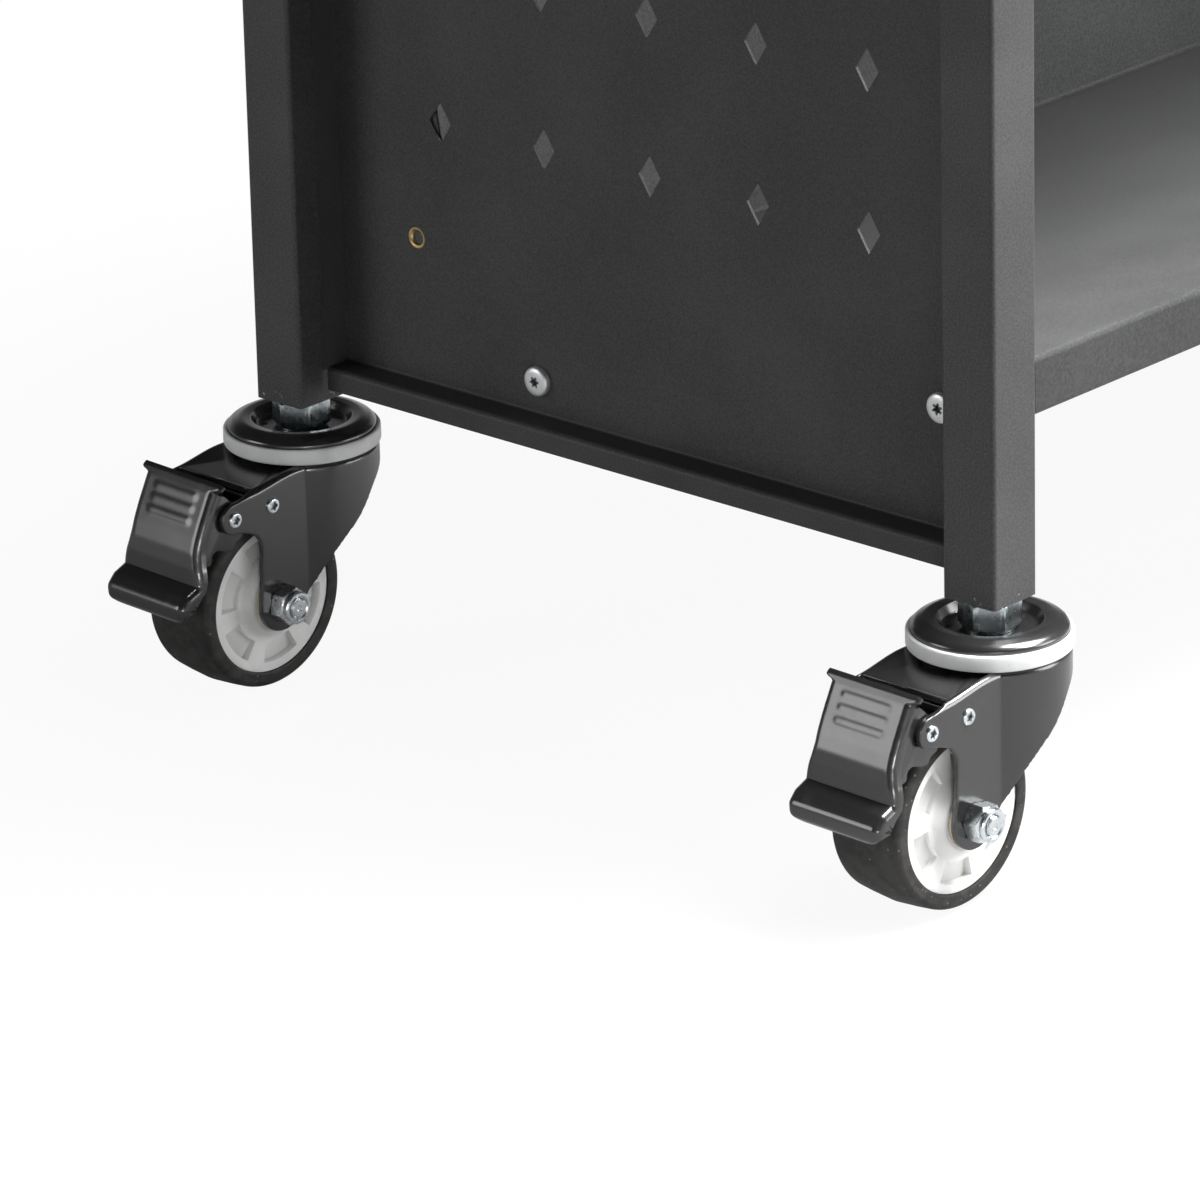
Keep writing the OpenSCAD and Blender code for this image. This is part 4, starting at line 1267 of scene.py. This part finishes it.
def fork_side(braked):
    """Side view of the fork in (x, z)."""
    t, d = axle_spot()
    front = [
        (-34, -22.0), (-30.8, -26.3), (-20.7, -28.6), (-11.3, -33.9), (-3.7, -42.7), (4.3, -49.9),
        (9.5, -55.3), (14.0, -61.1), (17.4, -66.8), (20.3, -71.8),
    ]
    foot = arc(t, d, 11.7, 190, 372, 16)
    if braked:
        rear = [(45.0, -63.0), (44.3, -50.0), (44.6, -44.6), (47.6, -40.6), (52.0, -38.9)]
        rear += arc(*pivot_spots()[0], 6.4, 258, 448, 12)
        rear += [(54.0, -24.2), (48.2, -22.2), (47.6, -10.0)]
    else:
        rear = [(45.2, -63.0), (43.6, -51.0), (40.9, -38.5), (36.6, -28.2), (31.0, -22.4), (26.0, -18.0),
                (26.0, -10.0)]
    return front + foot + rear + [(-34, -10.0)]


def fork_piece(braked):
    """A fork in its own millimetres."""
    c = caster()
    sheet, inner_half = mm(c.fork_sheet), mm(c.fork_half) - mm(c.fork_sheet)
    # The shell reaches past the fork's rear and foot, which its side view then cuts out
    reach, foot = 70.0, -92
    name = "braked_fork" if braked else "plain_fork"
    shell = solid(name, fork_shell(0, 2.5, reach, foot, braked))
    cut_with(shell, solid(name + "_hollow", fork_shell(sheet, 0.5, reach + 6, foot - 4, braked)))
    cut_with(shell, solid(name + "_side", prism(eased(fork_side(braked)), -40, 40)), "INTERSECT")
    t, d = axle_spot()
    bores = [(t, d, 4.1)]
    if braked:
        gap = [(47.9, -60), (90, -60), (90, 0), (47.9, 0)]
        cut_with(shell, solid(name + "_gap", prism(gap, -inner_half, inner_half)))
        bores += [(x, z, 2.1) for x, z in pivot_spots()]
    for x, z, radius in bores:
        cut_with(shell, solid(name + "_bore", moved(rod(radius, -50, 50), x, 0, z)))
    cut_with(shell, solid(name + "_hole", rod(7.5, -40, 0, 40, "z")))
    return softened(shell, voxel=0.42, rounds=5, keep=0.3)


class MakeForks(bpy.types.Operator):
    """Makes the pressed forks."""

    bl_idname = "bookcart.make_forks"
    bl_label = "Make forks"

    def execute(self, context):
        for braked, corners in ((True, BRAKED), (False, PLAIN)):
            fork = fork_piece(braked)
            for corner in corners:
                made = copied(fork, corner + "_fork_pressed", corner_matrix(corner))
                finished(made, "caster_black", corner + "_swivel_body", corner + "_fork", smooth=60)
            removed(fork)
        return {"FINISHED"}


def bolt_shape(leg):
    """An axle bolt through fork legs that end at leg to both sides, with its thread's end."""
    def thread(r, h, angle):
        if h < leg + 1.5 or r < 3.4 or h > leg + 9.0:
            return r, h
        return r - thread_wave(h, angle, 1.25, 0.45), h

    profile = [(0, -leg - 0.2), (4, -leg - 0.2), (4, leg + 1)]
    profile += [(4.0, h) for h in spaced(leg + 7.6, leg + 8.9, 0.28)]
    profile += [(3.7, leg + 9.2), (3.2, leg + 9.5), (1.4, leg + 9.55), (1.0, leg + 9.3), (0, leg + 9.25)]
    return joined(turned(profile, 64, "y", shape=thread), hexagon(13, -leg - 5.3, -leg, axis="y"))


def nut_shape(leg):
    """A lock nut with its collar, seated on a fork leg."""
    bore = 4.1
    collar = [(4.6, leg + 6.5), (6.75, leg + 6.5), (6.75, leg + 7.9), (6.6, leg + 8.5), (6.1, leg + 8.95),
              (5.2, leg + 9.0), (4.7, leg + 8.7), (4.2, leg + 8.2), (bore, leg + 6.5)]
    return joined(hexagon(13.8, leg, leg + 6.6, bore, "y"), turned(collar, 64, "y", closed=True))


class MakeAxles(bpy.types.Operator):
    """Makes the axle bolts and their lock nuts."""

    bl_idname = "bookcart.make_axles"
    bl_label = "Make axles"

    def execute(self, context):
        leg = mm(caster().fork_half)
        t, d = axle_spot()
        for corner in CORNERS:
            place, body = corner_matrix(corner), corner + "_swivel_body"
            bolt = solid(corner + "_axle_bolt_turned", moved(bolt_shape(leg), t, 0, d), place)
            finished(bolt, "caster_zinc", body, corner + "_axle_bolt", smooth=24)
            nut = spun(nut_shape(leg), NUT_TURNS[corner], "Y")
            nut = solid(corner + "_axle_nut_turned", moved(nut, t, 0, d), place)
            finished(nut, "caster_zinc", body, corner + "_axle_nut", smooth=24)
        return {"FINISHED"}


# Where a rim's pockets begin and end, as shares of its radius
POCKET_SPAN = (0.605, 0.862)


def rim_shape():
    """The moulded rim about the axle, with pockets in both faces."""
    c = caster()
    outer, half = mm(c.rim_radius), mm(c.rim_half)
    depth = mm(c.pocket_depth)
    low, high = (outer * share for share in POCKET_SPAN)
    # Columns of points round the rim for each pocket, and how many of them it takes to each side
    columns, taken = 36, 11
    steps = columns * c.pockets
    bore, plate, rows = 11.05, half - 0.25, 12
    face = [(bore, 19.3), (11.5, 19.5), (12.6, 19.5), (13.2, 19.25), (14.4, 17.8), (15.8, 16.5), (17.2, 15.9)]
    face.append((low - 0.3, plate))
    face += [(low + (high - low) * i / rows, plate) for i in range(rows + 1)]
    face += [(high + 0.35, half - 0.2), (28.4, half), (29.6, half), (outer - 0.2, half - 0.15)]
    face.append((outer, half - 0.6))

    def pocket(r, h, angle):
        column = round(angle / TAU * steps) % columns
        if min(column, columns - column) > taken or not low - 0.01 < r < high + 0.01:
            return r, h
        sink = depth * (0.55 + 0.45 * (r - low) / (high - low))
        return r, (abs(h) - sink) * (1 if h > 0 else -1)

    profile = [(r, -h) for r, h in face] + [(r, h) for r, h in reversed(face)]
    profile += [(bore, 13.0), (9.0, 13.0), (9.0, -13.0), (bore, -13.0)]
    return turned(profile, steps, "y", closed=True, shape=pocket)


def shade_pockets(piece, axle, along):
    """Marks the floors of a rim's pockets for painted shade, most at their outer edges."""
    c = caster()
    low, high = (c.rim_radius * share for share in POCKET_SPAN)
    values = []
    for v in piece.data.vertices:
        off = v.co - axle
        side = abs(off.dot(along))
        r = (off - along * off.dot(along)).length
        sunk = low - 1e-5 < r < high + 1e-5 and side < c.rim_half - 0.0012
        values.append((0.25 + 0.75 * (r - low) / (high - low)) if sunk else 0.0)
    marked(piece, values)


def tread_shape():
    """The crowned tread about the axle."""
    c = caster()
    radius, half, rim = mm(c.wheel_radius), mm(c.wheel_half), mm(c.rim_radius)
    side = rounded([
        (rim, -half + 0.25), (rim + 0.8, -half), (radius - 1.6, -half), (radius - 0.7, -9.0), (radius, 0),
    ], [0.5, 5.6, 14], 12)
    return turned(side + [(p.x, -p.y) for p in reversed(side[:-1])], 160, "y", closed=True)


def bearings_shape():
    """The two ball bearings beside the rim's hub, each with its two rings and its shield."""
    outline = [(4.1, 13.4), (4.1, 20.4), (6.3, 20.4), (6.4, 20.2), (6.5, 19.7), (9.4, 19.7), (9.5, 20.2),
               (9.6, 20.4), (10.8, 20.4), (11.0, 20.2), (11.0, 13.4)]
    return joined(*[turned([(r, side * h) for r, h in outline], 72, "y", closed=True) for side in (-1, 1)])


class MakeWheels(bpy.types.Operator):
    """Makes the treads, rims and bearings."""

    bl_idname = "bookcart.make_wheels"
    bl_label = "Make wheels"

    def execute(self, context):
        t, d = axle_spot()
        for corner in CORNERS:
            place, body = corner_matrix(corner), corner + "_wheel_body"
            tread = solid(corner + "_tread_moulded", moved(tread_shape(), t, 0, d), place)
            finished(tread, "tread_rubber", body, corner + "_tread", smooth=40)
            rim = spun(rim_shape(), -WHEEL_TURNS[corner], "Y")
            rim = solid(corner + "_rim_moulded", moved(rim, t, 0, d), place)
            shade_pockets(rim, place @ Vector((t, 0, d)), Vector(JOINTS[corner + "_wheel"]["axis"]))
            finished(rim, "rim_plastic", body, corner + "_rim", smooth=34)
            bearing = solid(corner + "_bearing_rings", moved(bearings_shape(), t, 0, d), place)
            finished(bearing, "bearing_steel", body, corner + "_bearings", smooth=30)
        return {"FINISHED"}


# A pedal's face in (x, z): the crease above its lip, and the middles of its pressed bars
PEDAL_CREASE = Vector((78.7, -54.2))
BARS = ((68.6, -21.6), (70.8, -26.0), (72.9, -30.5))

# The distances down a pedal's line between which its wide top edge narrows
TOP_EDGE = (2.6, 4.2)


def pedal_line():
    """Outer line of a pedal's face, from its top edge down to the end of its lip."""
    return rounded([
        (63.9, -15.3), (65.2, -16.2), (67.1, -19.2), (69.5, -24.0), (72.5, -30.0), (75.1, -36.0),
        (77.1, -42.0), (78.2, -48.0), PEDAL_CREASE, (84.4, -56.6), (88.4, -61.0), (88.0, -66.2),
        (85.6, -68.3),
    ], [1.2, 4, 9, 12, 16, 16, 14, 0, 3.4, 3.8, 2.4], 6)


def pedal_width(travel, crease, total):
    """Half width over the pedal's face, at a distance down its line: wide at the top edge,
    slim below it, wider again towards the crease, and rounded in at the lip's end."""
    wide, slim, lip = 23.1, 20.2, 22.8
    if travel < TOP_EDGE[1]:
        return wide - 2.9 * smoothstep(*TOP_EDGE, travel)
    if travel <= crease:
        return slim + 2.5 * smoothstep(crease - 15, crease, travel)
    corner = 5.0
    inset = corner - math.sqrt(max(0.0, corner ** 2 - (corner - min(corner, total - travel)) ** 2))
    return lip - 0.75 * inset


def pedal_section(half, bend, depth):
    """Half of a cross section: across the flat, round the bend and down the side flange."""
    flat = half - bend
    section = [(flat * k / 17, 0.0) for k in range(18)]
    for k in range(1, 8):
        a = math.pi / 2 * k / 7
        section.append((flat + bend * math.sin(a), bend * (1 - math.cos(a))))
    return section + [(half, bend + (depth - bend) * k / 4) for k in range(1, 5)]


def bar_lift(point, across):
    """How far the pressed bars stand up at a point of the line and a distance across it."""
    lift = 0.0
    if across < 14:
        for spot in BARS:
            d = math.hypot((point - Vector(spot)).length, max(0.0, across - 10.6))
            lift = max(lift, 0.28 * (1 - smoothstep(0.0, 2.6, d)))
    return lift


def pedal_skin():
    """The pressed face of a brake pedal with its bends and lip, as a closed sheet."""
    whole = pedal_line()
    fold = min(range(len(whole)), key=lambda i: (whole[i] - PEDAL_CREASE).length)
    spacing, thickness = 0.62, 1.6
    face = resampled(whole[:fold + 1], spacing)
    line = face + resampled(whole[fold:], spacing)[1:]
    travels = travelled(line)
    crease = travels[len(face) - 1]
    outer, inner = [], []
    for i, (p, travel) in enumerate(zip(line, travels)):
        along = (line[min(i + 1, len(line) - 1)] - line[max(i - 1, 0)]).normalized()
        out = Vector((-along.y, along.x))
        half = pedal_width(travel, crease, travels[-1])
        bend = 3.4
        depth = 5.0 + 2.0 * smoothstep(crease, crease + 5, travel)
        if travel < TOP_EDGE[1]:
            bend = 1.7 + 1.7 * smoothstep(*TOP_EDGE, travel)
            depth = bend + 0.05
        for skin, store in ((0.0, outer), (thickness, inner)):
            row = []
            for y, down in pedal_section(half - skin, max(bend - skin, 0.15), depth):
                q = p + out * (bar_lift(p, y) - skin - max(0.0, down))
                row.append(Vector((q.x, y, q.y)))
            mirrored = [Vector((q.x, -q.y, q.z)) for q in reversed(row[1:])]
            store.append(mirrored + row)
    return closed_sheet(outer, inner)


def closed_sheet(outer, inner):
    """A solid between two grids of points of the same size."""
    rows, columns = len(outer), len(outer[0])
    points = [p for grid in (outer, inner) for row in grid for p in row]

    def at(side, i, j):
        return (side * rows + i) * columns + j

    faces = []
    for i in range(rows - 1):
        for j in range(columns - 1):
            faces.append((at(0, i, j), at(0, i, j + 1), at(0, i + 1, j + 1), at(0, i + 1, j)))
            faces.append((at(1, i, j), at(1, i + 1, j), at(1, i + 1, j + 1), at(1, i, j + 1)))
    for i in range(rows - 1):
        for j in (0, columns - 1):
            faces.append((at(0, i, j), at(0, i + 1, j), at(1, i + 1, j), at(1, i, j)))
    for j in range(columns - 1):
        for i in (0, rows - 1):
            faces.append((at(0, i, j), at(1, i, j), at(1, i, j + 1), at(0, i, j + 1)))
    return points, faces


def pedal_piece():
    """A brake pedal in its caster's own millimetres: face, two cheeks and two cams."""
    cheek = closed_rounded([
        (64.6, -19.6), (69.2, -27.4), (73.2, -37.8), (75.2, -45.8), (77.6, -54.4), (83.0, -59.0),
        (84.6, -64.8), (79.5, -65.4), (75.2, -55.0), (73.2, -48.6), (68.9, -47.8), (68.6, -43.9),
        (65.5, -43.0), (60.6, -44.6), (57.4, -44.8), (56.2, -42.5), (51.9, -40.6), (51.6, -35.0),
        (52.8, -28.6), (57.0, -25.2), (60.6, -21.6),
    ], 1.8, 5)
    parts = [solid("pedal_face", pedal_skin())]
    for low, high in ((18.6, 20.15), (-20.15, -18.6)):
        parts.append(bevelled(solid("pedal_cheek", prism(cheek, low, high)), 0.35, segments=3, angle=40))
    cam_radius, cam_x, cam_z = 3.3, 61.6, -36.4
    for low, high in ((8.7, 19.4), (-19.4, -8.7)):
        parts.append(solid("pedal_cam", moved(rod(cam_radius, low, high), cam_x, 0, cam_z)))
    return join_pieces("pedal", parts)


def rivet_shape():
    """Head of a tubular rivet about z, its seat at z = 0, with a star-shaped mouth."""
    mouth_depth = 1.6
    profile = [(0, 0.95 - mouth_depth)]
    profile += [(r, RIVET_HEIGHT) for r in spaced(0.2, 2.3, 0.15)]
    profile += [(2.5, 1.0), (2.8, 0.92), (3.05, 0.7), (3.2, 0.35), (3.2, 0.0), (2.0, 0.0), (2.0, -3.2)]
    profile.append((0, -3.2))
    mouth = star_mouth(lobes=5, radius=1.55, swing=0.28, soft=(0.2, 0.15), depth=mouth_depth, reach=2.3,
                       seat=0.2)
    return turned(profile, 60, shape=mouth)


def rivets_piece(corner, place):
    """The two tubular rivets of a brake, each with a head on both fork legs."""
    leg = mm(caster().fork_half)
    axle = place.to_3x3().normalized() @ Vector((0, 1, 0))
    places = []
    for x, z in pivot_spots():
        for side in (-1, 1):
            facing = (axle * side).to_track_quat("Z", "Y").to_euler()
            places.append((place @ Vector((x, side * leg, z)), tuple(facing)))
    head = solid(corner + "_rivet_one", rivet_shape(), Matrix.Scale(MM, 4))
    shade_mouth(head, Vector((0, 0, 1)), RIVET_HEIGHT, reach=1.9, bottom=-1.0)
    heads = scattered(corner + "_rivet_heads", head, places, finish("caster_zinc"))
    pins = [moved(rod(2, -leg + 0.5, leg - 0.5), x, 0, z) for x, z in pivot_spots()]
    return join_pieces(corner + "_rivets", [heads, solid(corner + "_rivet_pins", joined(*pins), place)])


class MakeBrakes(bpy.types.Operator):
    """Makes the brake pedals and rivets, and paints the shoes."""

    bl_idname = "bookcart.make_brakes"
    bl_label = "Make brakes"

    def execute(self, context):
        pedal = pedal_piece()
        for corner in BRAKED:
            place = corner_matrix(corner)
            made = copied(pedal, corner + "_pedal_pressed", place)
            finished(made, "caster_black", corner + "_pedal_body", corner + "_pedal", smooth=38)
            paint_node(corner + "_brake_shoe", "caster_black")
            made = rivets_piece(corner, place)
            finished(made, "caster_zinc", corner + "_swivel_body", corner + "_brake_rivets", smooth=30)
        removed(pedal)
        return {"FINISHED"}


# The camera's place in metres, and how it is turned in degrees
CAMERA_AT = (-2.4809, -1.9089, 1.1645)
YAW, PITCH, ROLL = 42.456, 21.119, -1.365

# The side from which floor and surroundings are mirrored as bright
BRIGHT_SIDE = (0.74, -0.67, 0)


def make_camera(focal):
    """The camera at the photograph's viewing angle."""
    lens = bpy.data.cameras.new("camera")
    lens.lens = focal
    lens.sensor_width = 36
    lens.clip_start, lens.clip_end = 0.05, 100
    yaw, pitch, roll = (math.radians(a) for a in (YAW, PITCH, ROLL))
    forward = Vector((math.cos(yaw) * math.cos(pitch), math.sin(yaw) * math.cos(pitch), -math.sin(pitch)))
    right = Vector((math.sin(yaw), -math.cos(yaw), 0))
    up = right.cross(forward)
    across = right * math.cos(roll) + up * math.sin(roll)
    upright = -right * math.sin(roll) + up * math.cos(roll)
    turn = Matrix((across, upright, -forward)).transposed().to_4x4()
    camera = new_object("camera", lens)
    camera.matrix_world = Matrix.Translation(CAMERA_AT) @ turn
    return camera


def make_softbox(name, at, target, size, watts, spread=180):
    """A rectangular lamp that looks at a target, with a grid where its spread is small."""
    light = bpy.data.lights.new(name, "AREA")
    light.spread = math.radians(spread)
    light.shape = "RECTANGLE"
    light.size, light.size_y = size
    light.energy = watts
    made = new_object(name, light)
    made.location = at
    made.rotation_mode = "QUATERNION"
    made.rotation_quaternion = (Vector(target) - Vector(at)).to_track_quat("-Z", "Y")


class Surroundings(Nodes):
    """The nodes of the floor or the world, which differ from one kind of ray to another."""

    def __init__(self, owner, coordinate):
        owner.use_nodes = True
        owner.node_tree.nodes.clear()
        super().__init__(owner.node_tree)
        self.place = self.node("ShaderNodeTexCoord", output=coordinate)

    def ray(self, kind):
        """1 for one kind of ray and 0 for the others."""
        return self.node("ShaderNodeLightPath", output="Is " + kind + " Ray")

    def sweep(self, low, high, dark):
        """From dark on the far side to 1 on the bright one."""
        along = self.node("ShaderNodeVectorMath", {"operation": "DOT_PRODUCT"},
                          {0: self.place, 1: BRIGHT_SIDE}, "Value")
        return along.step(low, high, dark, 1.0)

    def mixed(self, share, plain, white, output):
        """Ends the tree with two shaders mixed by a share."""
        mix = self.node("ShaderNodeMixShader", {}, {0: share, 1: plain, 2: white})
        self.node(output, {}, {"Surface": mix})


def make_floor():
    """A pale floor that keeps the shadow near the cart and turns white away from it."""
    reach = 8
    corners = [(-reach, -reach, 0), (reach, -reach, 0), (reach, reach, 0), (-reach, reach, 0)]
    floor = raw_object("floor", (corners, [(0, 1, 2, 3)]))
    material = bpy.data.materials.new("floor")
    kit = Surroundings(material, "Object")
    away = kit.node("ShaderNodeVectorMath", {"operation": "LENGTH"}, {0: kit.place}, "Value")
    seen = kit.ray("Camera") * away.step(0.4, 0.95, 0.93, 1.0)
    mirrored = kit.ray("Glossy") * kit.sweep(-0.4, 0.0, 0.16)
    share = kit.maths("MAXIMUM", kit.maths("MAXIMUM", seen, mirrored), kit.ray("Transmission"))
    tone = kit.blend(kit.ray("Camera"), (0.28, 0.28, 0.28), (0.85, 0.85, 0.85))
    diffuse = kit.node("ShaderNodeBsdfDiffuse", {}, {"Color": tone})
    white = kit.node("ShaderNodeEmission")
    kit.mixed(share, diffuse, white, "ShaderNodeOutputMaterial")
    floor.data.materials.append(material)


def make_world(fill):
    """White to the camera, a bright band in reflections, and a plain fill light otherwise."""
    world = bpy.data.worlds.new("surroundings")
    bpy.context.scene.world = world
    kit = Surroundings(world, "Generated")
    band = kit.part(kit.place, "Z").step(0.12, 0.48, 0.66, 0.0) * kit.sweep(-0.8, -0.2, 0.2)
    clear = kit.maths("MAXIMUM", kit.ray("Camera"), kit.ray("Transmission"))
    share = kit.maths("MAXIMUM", clear, kit.ray("Glossy") * band)
    plain = kit.node("ShaderNodeBackground", {}, {"Strength": fill})
    white = kit.node("ShaderNodeBackground", {}, {"Color": (1, 1, 1)})
    kit.mixed(share, plain, white, "ShaderNodeOutputWorld")


class SetStage(bpy.types.Operator):
    """Sets the camera, the floor, the softboxes and the white surroundings."""

    bl_idname = "bookcart.set_stage"
    bl_label = "Set stage"

    def execute(self, context):
        scene = context.scene
        settings = scene.cart_stage
        scene.view_settings.view_transform = "Standard"
        scene.camera = make_camera(settings.focal)
        make_floor()
        make_world(settings.fill)
        make_softbox("key_softbox", (2.3, -3.6, 1.7), (-0.2, 0, 0.25), (2.4, 2.8), settings.key)
        make_softbox("low_softbox", (-1.5, -1.25, 0.16), (-0.355, 0.139, -0.03), (0.5, 0.16), settings.low,
                     spread=24)
        make_softbox("top_softbox", (0.9, -1.2, 3.4), (0, 0, 0.3), (2.0, 2.0), settings.top)
        make_softbox("edge_softbox", (-2.95, 1.85, 1.0), (-0.42, 0, 0.1), (1.4, 1.7), settings.edge)
        return {"FINISHED"}


STEPS = (PaintTubes, MakePanels, MakeShelves, MakeFixings, MakeSwivels, MakeForks, MakeAxles, MakeWheels,
         MakeBrakes, SetStage)


class BookCartPanel(bpy.types.Panel):
    """Lists the steps that dress the cart."""

    bl_idname = "VIEW3D_PT_bookcart"
    bl_label = "Book cart"
    bl_space_type = "VIEW_3D"
    bl_region_type = "UI"
    bl_category = "Book cart"

    def draw(self, context):
        for step in STEPS:
            self.layout.operator(step.bl_idname)


GROUPS = (
    (CartSizes, "cart_sizes"),
    (CasterSizes, "caster_sizes"),
    (CartFinishes, "cart_finishes"),
    (StageSettings, "cart_stage"),
)


def register():
    for group, name in GROUPS:
        bpy.utils.register_class(group)
        setattr(bpy.types.Scene, name, PointerProperty(type=group))
    for step in STEPS:
        bpy.utils.register_class(step)
    bpy.utils.register_class(BookCartPanel)


def unregister():
    bpy.utils.unregister_class(BookCartPanel)
    for step in reversed(STEPS):
        bpy.utils.unregister_class(step)
    for group, name in reversed(GROUPS):
        delattr(bpy.types.Scene, name)
        bpy.utils.unregister_class(group)


def main():
    """Registers the add-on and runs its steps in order."""
    register()
    bpy.ops.bookcart.paint_tubes()
    bpy.ops.bookcart.make_panels()
    bpy.ops.bookcart.make_shelves()
    bpy.ops.bookcart.make_fixings()
    bpy.ops.bookcart.make_swivels()
    bpy.ops.bookcart.make_forks()
    bpy.ops.bookcart.make_axles()
    bpy.ops.bookcart.make_wheels()
    bpy.ops.bookcart.make_brakes()
    bpy.ops.bookcart.set_stage()


if __name__ == "__main__":
    main()
